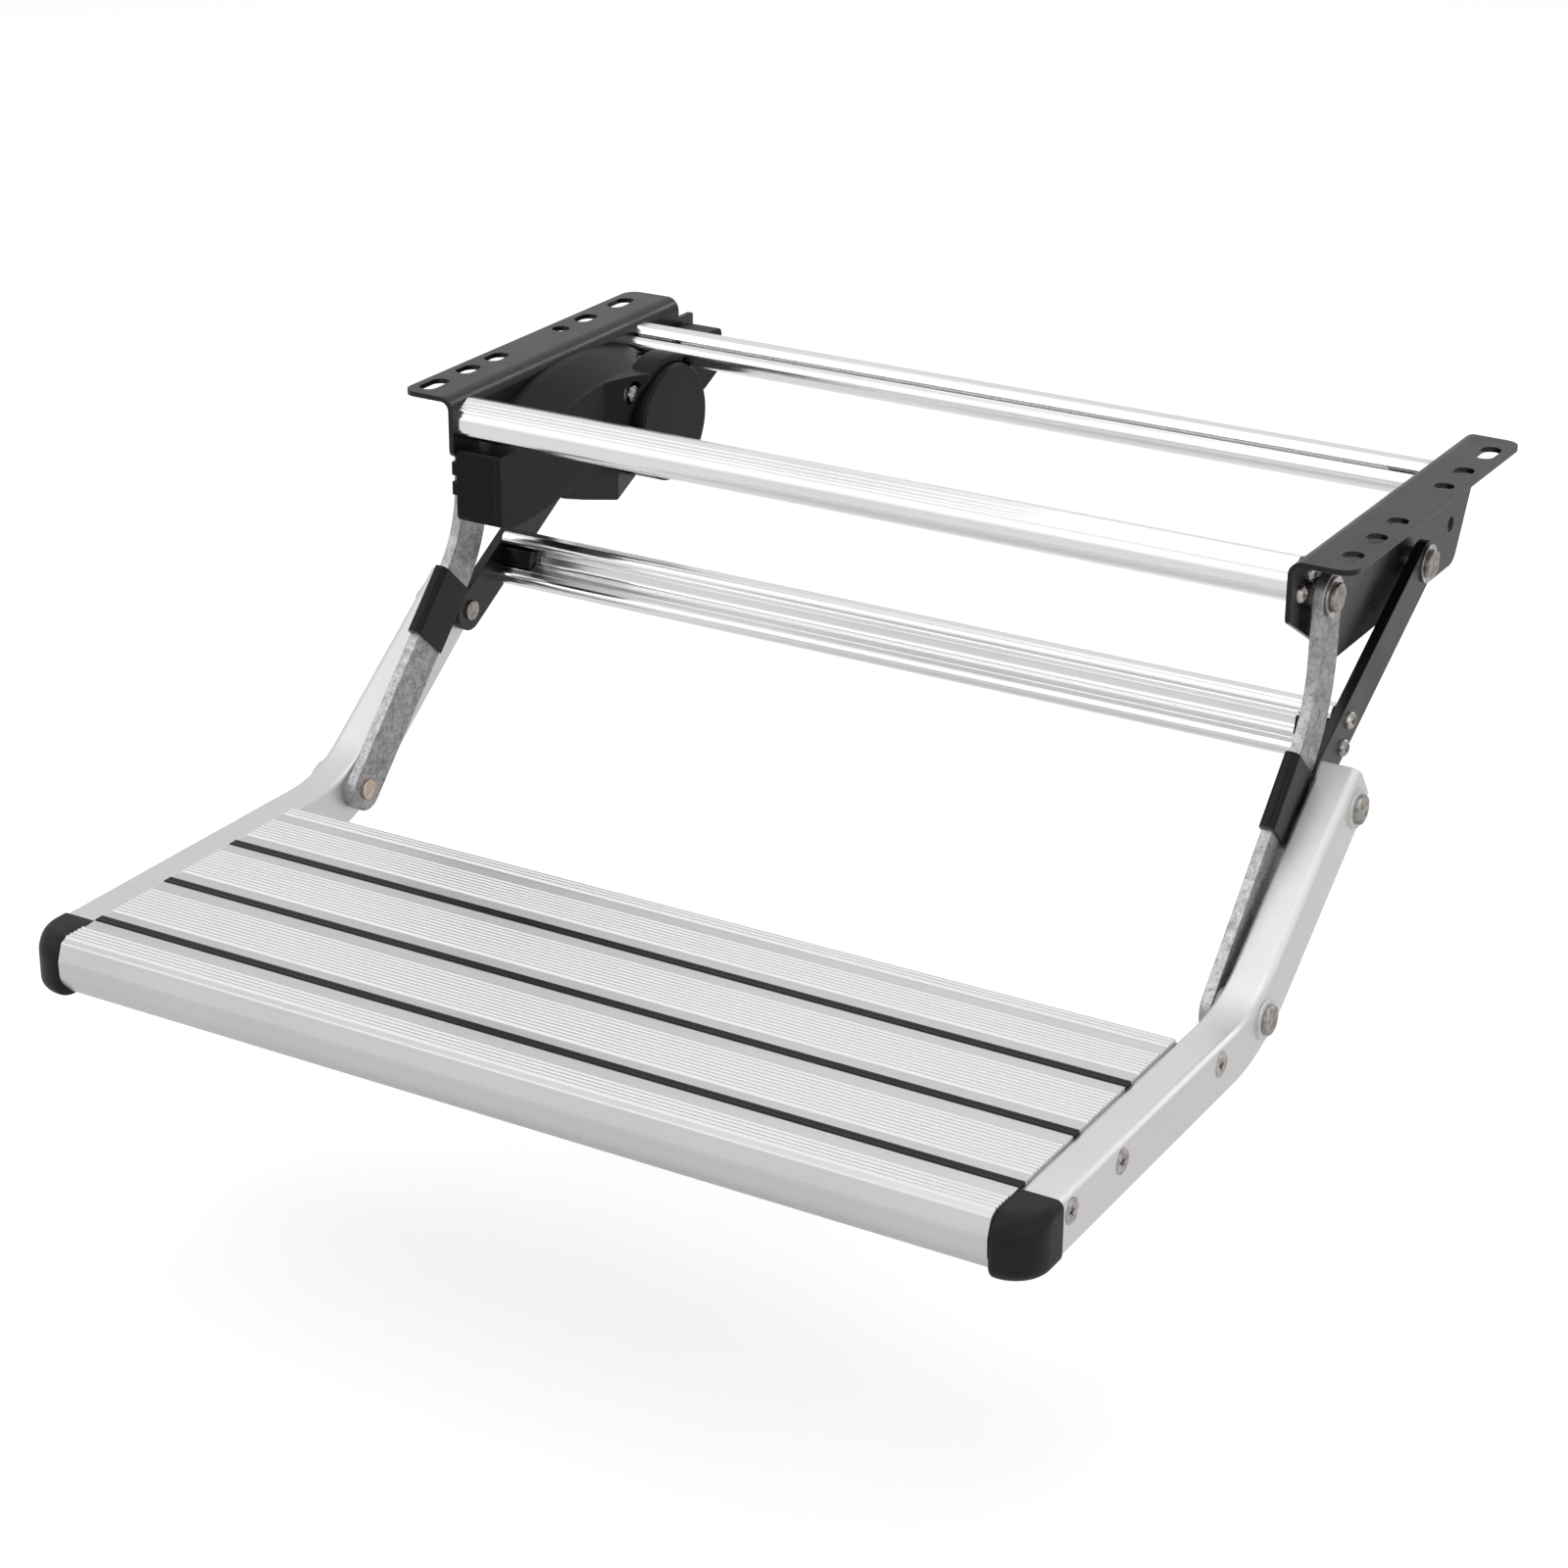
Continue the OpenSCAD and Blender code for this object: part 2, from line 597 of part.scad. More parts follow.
// Pin through the side bar at the lower pivot
module lower_bar_pin(side) {
    color([0.66, 0.62, 0.56]) on_side(side) {
        rod(pivot_c, pin_r, arm_out + 2 * side_play, bar_out + washer_t);
        rod(pivot_c, head_r, bar_out + washer_t, bar_out + washer_t + head_h);
    }
}

module outer_nylon_washers() {
    color([0.88, 0.87, 0.84]) both_sides()
        for (at = [pivot_c, pivot_d]) ring(at, washer_r, pin_r, bar_out, bar_out + washer_t);
}

module inner_nylon_washers() {
    color([0.88, 0.87, 0.84]) both_sides()
        for (at = [pivot_c, pivot_d]) ring(at, washer_r, pin_r, arm_out + side_play, bar_in);
}

// Lower edge of the gear mouldings in the side view, from the rear to the front
gear_belly = [[-60, -67.5], [-83, -72.6, 30], [-104, -75.6, 30], [-124, -77.3, 30], [-140, -76.6, 8], [-150, -74, 4]];

// Moulded hood over the gears: arched from front to rear and rounded towards its inner face,
// which turns out to the collar round the motor and runs down in front as a flat shell
module gear_housing() {
    arch = [-28, -205];
    collar_d = motor_d - 1;
    color([0.12, 0.12, 0.13]) difference() {
        union() {
            intersection() {
                translate([-web_in, arch[0], arch[1]]) rotate([0, 90, 0]) rotate_extrude($fn = 256) polygon(rounded([
                    [130, 0], [200, 0], [199, 6, 9], [190, hood_d - 2, 9], [189.5, collar_d, 1], [130, collar_d]]));
                along_x(-web_in - 1, -web_in + collar_d + 1) polygon(rounded([
                    [-117, -80], [-117, -9, 5], [-90, 0], [hood_rear, 0], [hood_rear, -57.7], [-117, -57.7]]));
                translate([-web_in, 0, -100]) linear_extrude(120) polygon([
                    [0, -120], [0, hood_rear], [shoulder_d, hood_rear], [shoulder_d, 26], [collar_d, 4], [collar_d, -6],
                    [hood_d, -40], [hood_d, -120]]);
            }
            along_x(-web_in + casing_d, -web_in + hood_d) polygon(rounded(concat(
                [[-150, -31, 2], [-112, -31], [-112, -50], [-42, -50], [-42, -57]], gear_belly)));
        }
        rod(motor_at, motor_r + 0.4, -web_in - 1, -web_in + collar_d + 1);
        rod(motor_at, motor_r + 5, -web_in + hood_d - 3, -web_in + collar_d + 1);
        rod(housing_bolt_at, 7.5, -web_in + hood_d - 4, -web_in + collar_d + 1);
        rod(housing_bolt_at, 2.5, -web_in - 1, -web_in + hood_d);
    }
}

// Lower casing of the gears, under the hood and round the motor housing
module gear_casing() {
    color([0.11, 0.11, 0.12]) difference() {
        along_x(-web_in, -web_in + casing_d) polygon(rounded([
            [-59.7, -57.9], [-59.7, -68], [-77, -71.9], [-78, -77.5, 1], [-57.3, -84.3, 3], [-20.5, -95.2, 4],
            [12, -90], [12, -57.9]]));
        translate([-web_in, 0, -120]) linear_extrude(80) polygon([
            [casing_d, -19], [casing_d + 1, -19], [casing_d + 1, 20], [casing_d - 9, 20]]);
        rod(motor_at, motor_r + 0.4, -web_in - 1, -web_in + casing_d + 1);
    }
}

// Lower front cover of the gears, with its lip under the front tube and clips over the bracket's edge
module lower_cover() {
    color([0.11, 0.11, 0.12]) {
        along_x(-web_in, -web_in + casing_d) polygon(rounded(concat(
            [[-150, -31, 2], [-117.3, -31], [-117.3, -58], [-60, -58]], gear_belly)));
        for (z = [-47, -59])
            translate([-web_out, -150, z]) cube([web_t + 2, 5, 8]);
    }
}

// Box for the cable entry behind the motor
module cable_box() {
    color([0.12, 0.12, 0.13]) difference() {
        along_x(-web_in + 2, -web_in + 26) polygon(rounded([
            [48, -30, 3], [62, -30, 3], [62, -17, 3], [104, -17, 4], [105, -42, 12], [84, -52, 14], [48, -60, 4]]));
        rod(motor_at, motor_r + 0.4, -web_in - 1, -web_in + hood_d + 1);
    }
}

// Round motor housing on the line of the rear arms' upper pivot
module motor_housing() {
    color([0.12, 0.12, 0.13]) difference() {
        rod(motor_at, motor_r, -web_in, -web_in + motor_d);
        rod(motor_at, motor_r - moulding_t, -web_in + moulding_t, -web_in + motor_d + 1);
    }
}

// Cap with a bevelled rim and a spigot in the motor housing
module motor_cap() {
    color([0.13, 0.13, 0.14]) translate([-web_in + motor_d, motor_at[0], motor_at[1]]) rotate([0, 90, 0])
        rotate_extrude() polygon([[0, 0], [motor_r - 7, 0], [motor_r - 7, -6], [motor_r - moulding_t - 0.2, -6],
            [motor_r - moulding_t - 0.2, 0], [motor_r, 0], [motor_r, cap_t - 1.5], [motor_r - 1.5, cap_t], [0, cap_t]]);
}

// Bolt with a hexagon nut that holds the hood to the bracket
module housing_bolt() {
    color([0.75, 0.76, 0.78]) {
        rod(housing_bolt_at, 2.5, -web_in, -web_in + hood_d);
        along_x(-web_in + hood_d - 4, -web_in + hood_d + 0.5) translate(housing_bolt_at) circle(5.2, $fn = 6);
    }
}

bracket(-1);  // left_bracket
bracket(1);  // right_bracket
front_top_tube();
rear_top_tube();
tube_screws();
arm_pin(pivot_a, -1);  // left_front_arm_pin
arm_pin(pivot_a, 1);  // right_front_arm_pin
arm_pin(pivot_b, -1);  // left_rear_arm_pin
arm_pin(pivot_b, 1);  // right_rear_arm_pin
pivot_washers();
pivot_spacers();
gear_housing();
gear_casing();
lower_cover();
cable_box();
motor_housing();
motor_cap();
housing_bolt();
rear_arm(-1);  // left_rear_arm
rear_arm(1);  // right_rear_arm
lower_cross_bar();
cross_bar_inserts();
cross_bar_screws();
front_arm(-1);  // left_front_arm
front_arm(1);  // right_front_arm
arm_sleeve(-1);  // left_arm_sleeve
arm_sleeve(1);  // right_arm_sleeve
lower_pin_end(-1);  // left_lower_pin_end
lower_pin_end(1);  // right_lower_pin_end
side_bar(-1);  // left_side_bar
side_bar(1);  // right_side_bar
tread_board();
grip_strip(strip_y[0]);  // front_grip_strip
grip_strip(strip_y[1]);  // middle_grip_strip
grip_strip(strip_y[2]);  // rear_grip_strip
end_cap(-1);  // left_end_cap
end_cap(1);  // right_end_cap
tread_screws();
upper_bar_pin(-1);  // left_upper_bar_pin
upper_bar_pin(1);  // right_upper_bar_pin
lower_bar_pin(-1);  // left_lower_bar_pin
lower_bar_pin(1);  // right_lower_bar_pin
outer_nylon_washers();
inner_nylon_washers();
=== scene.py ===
"""Looks of a folding entry step: finishes, fine fasteners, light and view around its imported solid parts."""
import math

import bpy
import numpy as np
from mathutils import Matrix, Vector


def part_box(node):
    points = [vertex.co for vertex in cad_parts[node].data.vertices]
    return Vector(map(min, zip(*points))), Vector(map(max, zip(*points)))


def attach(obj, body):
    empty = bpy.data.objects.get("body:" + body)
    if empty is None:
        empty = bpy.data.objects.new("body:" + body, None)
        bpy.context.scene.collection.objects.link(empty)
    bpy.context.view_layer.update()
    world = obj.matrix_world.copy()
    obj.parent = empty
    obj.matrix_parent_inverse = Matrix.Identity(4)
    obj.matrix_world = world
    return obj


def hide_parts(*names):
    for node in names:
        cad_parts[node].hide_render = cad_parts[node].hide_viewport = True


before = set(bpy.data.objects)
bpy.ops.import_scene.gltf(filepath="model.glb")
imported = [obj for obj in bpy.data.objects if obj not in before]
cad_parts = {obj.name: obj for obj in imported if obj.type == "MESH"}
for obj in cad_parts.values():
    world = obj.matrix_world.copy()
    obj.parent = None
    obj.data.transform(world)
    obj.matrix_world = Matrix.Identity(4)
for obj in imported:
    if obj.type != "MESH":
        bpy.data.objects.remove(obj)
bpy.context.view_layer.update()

# Mounting brackets: two angles folded from 3 mm steel sheet and powder coated black.
# The slotted flanges bolt up under the vehicle's floor, and tubes and arms hang from the webs.
# The coat is smooth with a faint orange peel, greyer in rubbed patches and along its edges.
PAINT = (0.0050, 0.0044, 0.0056)
PAINT_RUBBED = (0.016, 0.0145, 0.0175)
PAINT_EDGE = (0.055, 0.052, 0.056)
PAINT_GLOSS_TINT = (1.0, 0.90, 1.0)
RUBBED_SHARE = 0.4


def add(tree, kind, inputs=None, **settings):
    """New shader node with its settings and its own unlinked values."""
    node = tree.nodes.new("ShaderNode" + kind)
    for key, value in settings.items():
        setattr(node, key, value)
    for key, value in (inputs or {}).items():
        node.inputs[key].default_value = value
    return node


def node_group(name, inputs, outputs):
    """Shader group with float or vector inputs and their first values; gives its tree, inputs and outputs."""
    tree = bpy.data.node_groups.new(name, "ShaderNodeTree")
    for label, kind, value in inputs:
        socket = tree.interface.new_socket(label, in_out="INPUT", socket_type="NodeSocket" + kind)
        socket.default_value = value
    for label, kind in outputs:
        tree.interface.new_socket(label, in_out="OUTPUT", socket_type="NodeSocket" + kind)
    return tree, tree.nodes.new("NodeGroupInput").outputs, tree.nodes.new("NodeGroupOutput").inputs


def place_group(tree, group, inputs):
    """Group placed in a material with that material's own values."""
    node = tree.nodes.new("ShaderNodeGroup")
    node.node_tree = group
    for key, value in inputs.items():
        node.inputs[key].default_value = value
    return node.outputs


def clouds_group():
    """Soft patches: fractal noise at the given scale, stretched between a low and a high level to a mask."""
    tree, given, result = node_group(
        "clouds", [("Scale", "Float", 20.0), ("Roughness", "Float", 0.6), ("Low", "Float", 0.36),
                   ("High", "Float", 0.66)], [("Mask", "Float")])
    link = tree.links.new
    coords = add(tree, "TexCoord")
    noise = add(tree, "TexNoise", {"Detail": 4.0})
    spread = add(tree, "MapRange")
    link(coords.outputs["Object"], noise.inputs["Vector"])
    link(given["Scale"], noise.inputs["Scale"])
    link(given["Roughness"], noise.inputs["Roughness"])
    link(noise.outputs["Fac"], spread.inputs["Value"])
    link(given["Low"], spread.inputs["From Min"])
    link(given["High"], spread.inputs["From Max"])
    link(spread.outputs["Result"], result["Mask"])
    return tree


def skin_group():
    """Fine skin: noise of a given scale and depth as relief, and edges rounded by a radius.

    A mask of edges is one less the cosine between the rounded and the flat normal, broken by noise. It is
    wear on the coats and steel, and partly a painted highlight on the black moulding."""
    tree, given, result = node_group(
        "fine_skin", [("Grain", "Float", 1000.0), ("Depth", "Float", 0.00002), ("Edge", "Float", 0.0008)],
        [("Normal", "Vector"), ("EdgeWearAndHighlight", "Float")])
    link = tree.links.new
    coords = add(tree, "TexCoord")
    grain = add(tree, "TexNoise", {"Detail": 3.0})
    relief = add(tree, "Bump", {"Strength": 1.0})
    rounded = add(tree, "Bevel", samples=6)
    flat = add(tree, "NewGeometry")
    turn = add(tree, "VectorMath", operation="DOT_PRODUCT")
    worn = add(tree, "MapRange", {"From Min": 0.985, "From Max": 0.80, "To Min": 0.0, "To Max": 1.0})
    breaks = add(tree, "TexNoise", {"Scale": 420.0, "Detail": 4.0, "Roughness": 0.7})
    kept = add(tree, "MapRange", {"From Min": 0.40, "From Max": 0.60})
    edge_wear_and_highlight = add(tree, "Math", operation="MULTIPLY")
    link(coords.outputs["Object"], grain.inputs["Vector"])
    link(given["Grain"], grain.inputs["Scale"])
    link(grain.outputs["Fac"], relief.inputs["Height"])
    link(given["Depth"], relief.inputs["Distance"])
    link(relief.outputs["Normal"], rounded.inputs["Normal"])
    link(given["Edge"], rounded.inputs["Radius"])
    link(rounded.outputs["Normal"], turn.inputs[0])
    link(flat.outputs["Normal"], turn.inputs[1])
    link(turn.outputs["Value"], worn.inputs["Value"])
    link(coords.outputs["Object"], breaks.inputs["Vector"])
    link(breaks.outputs["Fac"], kept.inputs["Value"])
    link(worn.outputs["Result"], edge_wear_and_highlight.inputs[0])
    link(kept.outputs["Result"], edge_wear_and_highlight.inputs[1])
    link(rounded.outputs["Normal"], result["Normal"])
    link(edge_wear_and_highlight.outputs["Value"], result["EdgeWearAndHighlight"])
    return tree


CLOUDS = clouds_group()
SKIN = skin_group()


def new_material(name):
    """Node material with only its output and a Principled shader joined to it."""
    material = bpy.data.materials.new(name)
    material.use_nodes = True
    tree = material.node_tree
    tree.nodes.clear()
    shader = add(tree, "BsdfPrincipled")
    tree.links.new(shader.outputs["BSDF"], add(tree, "OutputMaterial").inputs["Surface"])
    return material, tree, shader.inputs


def mixed(tree, mask, first, second):
    """Colour that goes from first to second as the mask rises; each is a colour or a socket."""
    node = add(tree, "Mix", data_type="RGBA")
    for socket, color in (("A", first), ("B", second)):
        if isinstance(color, tuple):
            node.inputs[socket].default_value = (*color, 1)
        else:
            tree.links.new(color, node.inputs[socket])
    tree.links.new(mask, node.inputs["Factor"])
    return node.outputs["Result"]


def ranged(tree, mask, low, high):
    """Value that goes from low to high as the mask goes from 0 to 1."""
    node = add(tree, "MapRange", {"To Min": low, "To Max": high})
    tree.links.new(mask, node.inputs["Value"])
    return node.outputs["Result"]


def coated(name, color, rubbed, edge_wear_and_highlight_color, rough, gloss, grain, depth, edge, tint=(1.0, 1.0, 1.0)):
    """Dark coat or moulding: rubbed patches, lighter edges, and a fine skin in its relief; the lighter edges
    are wear, and on the moulding partly a painted highlight.

    The roughness goes from the first to the second value of rough as the patches get more rubbed."""
    material, tree, shader = new_material(name)
    patches = place_group(tree, CLOUDS, {"Scale": 26.0, "Low": 0.40, "High": 0.70})["Mask"]
    dust = place_group(tree, CLOUDS, {"Scale": 420.0, "Roughness": 0.7, "Low": 0.62, "High": 0.84})["Mask"]
    skin = place_group(tree, SKIN, {"Grain": grain, "Depth": depth, "Edge": edge})
    patch_color = tuple((1 - RUBBED_SHARE) * new + RUBBED_SHARE * worn for new, worn in zip(color, rubbed))
    dusty = mixed(tree, dust, mixed(tree, patches, color, patch_color), rubbed)
    tree.links.new(mixed(tree, skin["EdgeWearAndHighlight"], dusty, edge_wear_and_highlight_color), shader["Base Color"])
    tree.links.new(ranged(tree, patches, *rough), shader["Roughness"])
    tree.links.new(skin["Normal"], shader["Normal"])
    shader["Specular IOR Level"].default_value = gloss
    shader["Specular Tint"].default_value = (*tint, 1)
    return material


def finish(material, *names):
    """The named solids of the part take this material."""
    for name in names:
        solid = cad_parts[name]
        solid.data.materials.clear()
        solid.data.materials.append(material)


powder_coat = coated("black_powder_coat", PAINT, PAINT_RUBBED, PAINT_EDGE, rough=(0.27, 0.37),
                     gloss=0.36, grain=900.0, depth=0.00003, edge=0.0008, tint=PAINT_GLOSS_TINT)
finish(powder_coat, "left_bracket", "right_bracket")

# Upper tubes: two grooved aluminium extrusions, brightly anodised, that tie the brackets together.
# Die lines run along the extrusion, and the anodising leaves very faint clouds.
TUBE_BRIGHT = (0.93, 0.93, 0.935)
TUBE_DULL = (0.87, 0.87, 0.88)
ALONG_X = (0.002, 1.0, 1.0)


def die_lines_group():
    """Lines left by an extrusion die: noise on coordinates that are squeezed along the extrusion."""
    tree, given, result = node_group(
        "die_lines", [("Stretch", "Vector", (1.0, 1.0, 1.0)), ("Scale", "Float", 600.0)],
        [("Lines", "Float")])
    link = tree.links.new
    coords = add(tree, "TexCoord")
    squeeze = add(tree, "Mapping")
    noise = add(tree, "TexNoise", {"Detail": 2.0})
    spread = add(tree, "MapRange", {"From Min": 0.32, "From Max": 0.68})
    link(coords.outputs["Object"], squeeze.inputs["Vector"])
    link(given["Stretch"], squeeze.inputs["Scale"])
    link(squeeze.outputs["Vector"], noise.inputs["Vector"])
    link(given["Scale"], noise.inputs["Scale"])
    link(noise.outputs["Fac"], spread.inputs["Value"])
    link(spread.outputs["Result"], result["Lines"])
    return tree


DIE_LINES = die_lines_group()


def extruded(name, bright, dull, stretch, rough, metallic, depth, edge):
    """Anodised extrusion: die lines and clouds share the change of colour, clouds also change the gloss."""
    material, tree, shader = new_material(name)
    lines = place_group(tree, DIE_LINES, {"Stretch": stretch, "Scale": 620.0})["Lines"]
    patches = place_group(tree, CLOUDS, {"Scale": 9.0, "Low": 0.35, "High": 0.65})["Mask"]
    skin = place_group(tree, SKIN, {"Grain": 3200.0, "Depth": depth, "Edge": edge})
    share = add(tree, "Mix", {"Factor": 0.5}, data_type="FLOAT")
    tree.links.new(lines, share.inputs["A"])
    tree.links.new(patches, share.inputs["B"])
    tree.links.new(mixed(tree, share.outputs["Result"], dull, bright), shader["Base Color"])
    tree.links.new(ranged(tree, patches, *rough), shader["Roughness"])
    tree.links.new(skin["Normal"], shader["Normal"])
    shader["Metallic"].default_value = metallic
    return material


bright_tube = extruded("bright_extrusion", TUBE_BRIGHT, TUBE_DULL, ALONG_X, rough=(0.15, 0.21), metallic=1.0,
                       depth=0.0000006, edge=0.0002)
finish(bright_tube, "front_top_tube", "rear_top_tube")

# Tube screws: pan head self-tapping screws with a cross recess, three through each web into the tubes' ports.
# Bright zinc plated steel; the 30 mm thread cuts its own way into the aluminium.
MM = 0.001
SHEET = 3.0
SIDES = (("left", -1), ("right", 1))
TUBE_PORTS = ((-140.5, -21.5), (-126.5, -14.0), (50.0, -11.5))
SCREW_STEEL = (0.58, 0.555, 0.53)
SCREW_STAIN = (0.29, 0.265, 0.25)
SHANK_RADIUS = 2.2
THREAD_LENGTH = 30.0
THREAD_CORE = 1.9
THREAD_CREST = 2.5
THREAD_PITCH = 1.6
THREAD_AROUND = 20
ROWS_PER_TURN = 6
TIP_LENGTH = 4.0
TIP_BLUNTNESS = 0.12
PAN_RADIUS = 5.05
PAN_RIM = 0.2
PAN_HEIGHT = 3.2
PAN_REACH = 2.7
HEAD_AROUND = 96
HEAD_ROWS = 32
TURNED_AROUND = 56
RECESS_DEPTH = 2.6
RECESS_HALF_WIDTH = 1.05
RECESS_SIDE_SLOPE = 0.25
RECESS_END_SLOPE = 0.7
ON_AXIS = 0.02


def extent(name):
    """Lowest and highest corner of one of the part's solids, in mm to a thousandth."""
    low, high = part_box(name)
    return np.round(np.array(low) / MM, 3), np.round(np.array(high) / MM, 3)


def faces_across(name):
    """Inner and outer face of a solid on the right side, in mm from the middle of the step."""
    low, high = extent(name)
    return low[0], high[0]


WEB_IN = faces_across("right_bracket")[0]
WEB_OUT = WEB_IN + SHEET


def steel(name, bright, stain, rough):
    """Turned or stamped steel: stained patches over a fine tool grain.

    The roughness goes from the first value of rough, on stained metal, to the second, on bright metal."""
    material, tree, shader = new_material(name)
    patches = place_group(tree, CLOUDS, {"Scale": 260.0, "Low": 0.36, "High": 0.64})["Mask"]
    skin = place_group(tree, SKIN, {"Grain": 1900.0, "Depth": 0.00004, "Edge": 0.0004})
    stained = mixed(tree, patches, stain, bright)
    tree.links.new(mixed(tree, skin["EdgeWearAndHighlight"], stained, bright), shader["Base Color"])
    tree.links.new(ranged(tree, patches, *rough), shader["Roughness"])
    tree.links.new(skin["Normal"], shader["Normal"])
    shader["Metallic"].default_value = 1.0
    return material


def closed_grid(points):
    """Skin through points (rows, columns, 3) in mm.

    Quads join each row to the next, round and closed, and one face shuts each end."""
    rows, columns = points.shape[:2]
    index = np.arange(rows * columns).reshape(rows, columns)
    ahead = np.roll(index, -1, axis=1)
    quads = np.stack([index[:-1], ahead[:-1], ahead[1:], index[1:]], axis=-1).reshape(-1, 4)
    return points.reshape(-1, 3), quads.tolist() + [index[0][::-1].tolist(), index[-1].tolist()]


def full_turn(around):
    """Angles of one full turn in equal steps."""
    return 2 * np.pi * np.arange(around) / around


def about_x(x, radius, around):
    """Surface of revolution about X: (x, radius cos a, radius sin a); x and radius may change with a."""
    x, radius, angle = np.broadcast_arrays(x, radius, full_turn(around))
    return closed_grid(np.stack([x, radius * np.cos(angle), radius * np.sin(angle)], axis=-1))


def turned(profile):
    """Turned shape from (x, radius) points of its outline."""
    outline = np.array(profile)
    return about_x(outline[:, :1], outline[:, 1:], TURNED_AROUND)


def cross_recess(radius, reach):
    """Depth of a crossed slot, from the coordinates u and v of each point of the head.

    It is full where the lesser of |u| and |v| lies inside the slot's half width and the greater inside its
    reach, and rises to the face along a slope at the slot's sides and ends."""
    u = np.abs(radius * np.cos(full_turn(HEAD_AROUND)))
    v = np.abs(radius * np.sin(full_turn(HEAD_AROUND)))
    inside = np.clip((RECESS_HALF_WIDTH - np.minimum(u, v)) / RECESS_SIDE_SLOPE, 0, 1)
    return RECESS_DEPTH * inside * np.clip((reach - np.maximum(u, v)) / RECESS_END_SLOPE, 0, 1)


def screw_head(underside, top_radius, top, reach):
    """Head: its underside's (x, radius) points, then a top that follows a function of the radius.

    The cross recess is taken off the height of the top."""
    radius = np.linspace(top_radius, ON_AXIS, HEAD_ROWS)[:, None]
    outline = np.array(underside)
    face = top(radius) - cross_recess(radius, reach)
    x = np.vstack([np.repeat(outline[:, :1], HEAD_AROUND, axis=1), face])
    return about_x(x, np.vstack([outline[:, 1:], radius]), HEAD_AROUND)


def thread(start, end):
    """Thread about X: the radius is a triangle wave of x / pitch less the share of a turn.

    It tapers to a blunt tip at the start."""
    rows = int((end - start) / THREAD_PITCH * ROWS_PER_TURN)
    x = np.linspace(start, end, rows + 1)[:, None]
    phase = (x / THREAD_PITCH - np.arange(THREAD_AROUND) / THREAD_AROUND) % 1.0
    height = 1 - np.abs(2 * phase - 1)
    tip = np.minimum((x - start) / TIP_LENGTH + TIP_BLUNTNESS, 1.0)
    return about_x(x, (THREAD_CORE + (THREAD_CREST - THREAD_CORE) * height) * tip, THREAD_AROUND)


def put(shapes, x, y, z, side=1):
    """Shapes moved to a place; a side of -1 gives them half a turn about Z, so that they face left."""
    half_turn = np.array([side, side, 1])
    return [(points * half_turn + np.array([side * x, y, z]), faces) for points, faces in shapes]


def on_both_sides(shapes, x, ports):
    """Shapes repeated at each (y, z) port of the left side and then of the right side."""
    return [shape for _, side in SIDES for port in ports for shape in put(shapes, x, *port, side)]


def make_piece(name, shapes, material, body, nodes, smooth=35):
    """One mesh piece at the origin from all its shapes; it rides on a body and may stand for solids."""
    verts, faces = [], []
    for points, shape_faces in shapes:
        faces += [[k + len(verts) for k in face] for face in shape_faces]
        verts += (points * MM).tolist()
    mesh = bpy.data.meshes.new(name)
    mesh.from_pydata(verts, [], faces)
    mesh.update()
    mesh.polygons.foreach_set("use_smooth", np.ones(len(mesh.polygons), dtype=bool))
    mesh.set_sharp_from_angle(angle=math.radians(smooth))
    mesh.materials.append(material)
    piece = bpy.data.objects.new(name, mesh)
    bpy.context.scene.collection.objects.link(piece)
    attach(piece, body)
    if nodes:
        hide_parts(*nodes)


def pan_top(radius):
    """Dome of a pan head: height times (1 - (radius / head radius) ^ 2.6) ^ (1 / 2.2)."""
    return PAN_HEIGHT * np.clip(1 - (radius / PAN_RADIUS) ** 2.6, 0, 1) ** (1 / 2.2)


screw_steel = steel("screw_steel", SCREW_STEEL, SCREW_STAIN, rough=(0.38, 0.22))
pan_screw = [screw_head([(0, SHANK_RADIUS), (0, PAN_RADIUS - PAN_RIM)], PAN_RADIUS, pan_top, PAN_REACH),
             thread(-THREAD_LENGTH, 0.0)]
make_piece("tube_screws_threaded", on_both_sides(pan_screw, WEB_OUT, TUBE_PORTS),
           screw_steel, "frame", ["tube_screws"])

# Drive unit: black mouldings on the left web, with a hood over the gears and a round motor behind it.
# Satin black glass filled nylon. A collar joins the hood's face to the motor's drum.
# The hood stands 31 mm off the web and flares by 10 mm more towards the motor.
MOULDING = (0.0055, 0.0052, 0.0068)
MOULDING_RUBBED = (0.013, 0.0125, 0.0155)
# Lighter edge colour of the moulding: partly edge wear, partly a painted highlight along the hood's crest and
# crisp edges.
MOULDING_EDGE_WEAR_AND_HIGHLIGHT = (0.035, 0.034, 0.038)
MOULDING_GLOSS_TINT = (0.94, 0.92, 1.0)
HOOD_DEPTH = 31.0
FLARE = 10.0
FLARE_START = -40.0
FLARE_END = -6.0
COLLAR_GAP = 0.25
COLLAR_WIDTH = 5.4
COLLAR_PROUD = 0.3
COLLAR_FOOT = 26.0
COLLAR_FROM = math.radians(66)
COLLAR_TO = math.radians(204)
COLLAR_ROWS = 72


def middle(name):
    """Place (y, z) of the middle of one of the part's solids, in mm to a hundredth."""
    low, high = extent(name)
    return np.round((low + high)[1:] / 2, 2)


MOTOR = middle("motor_housing")
MOTOR_RADIUS = MOTOR[0] - extent("motor_housing")[0][1]


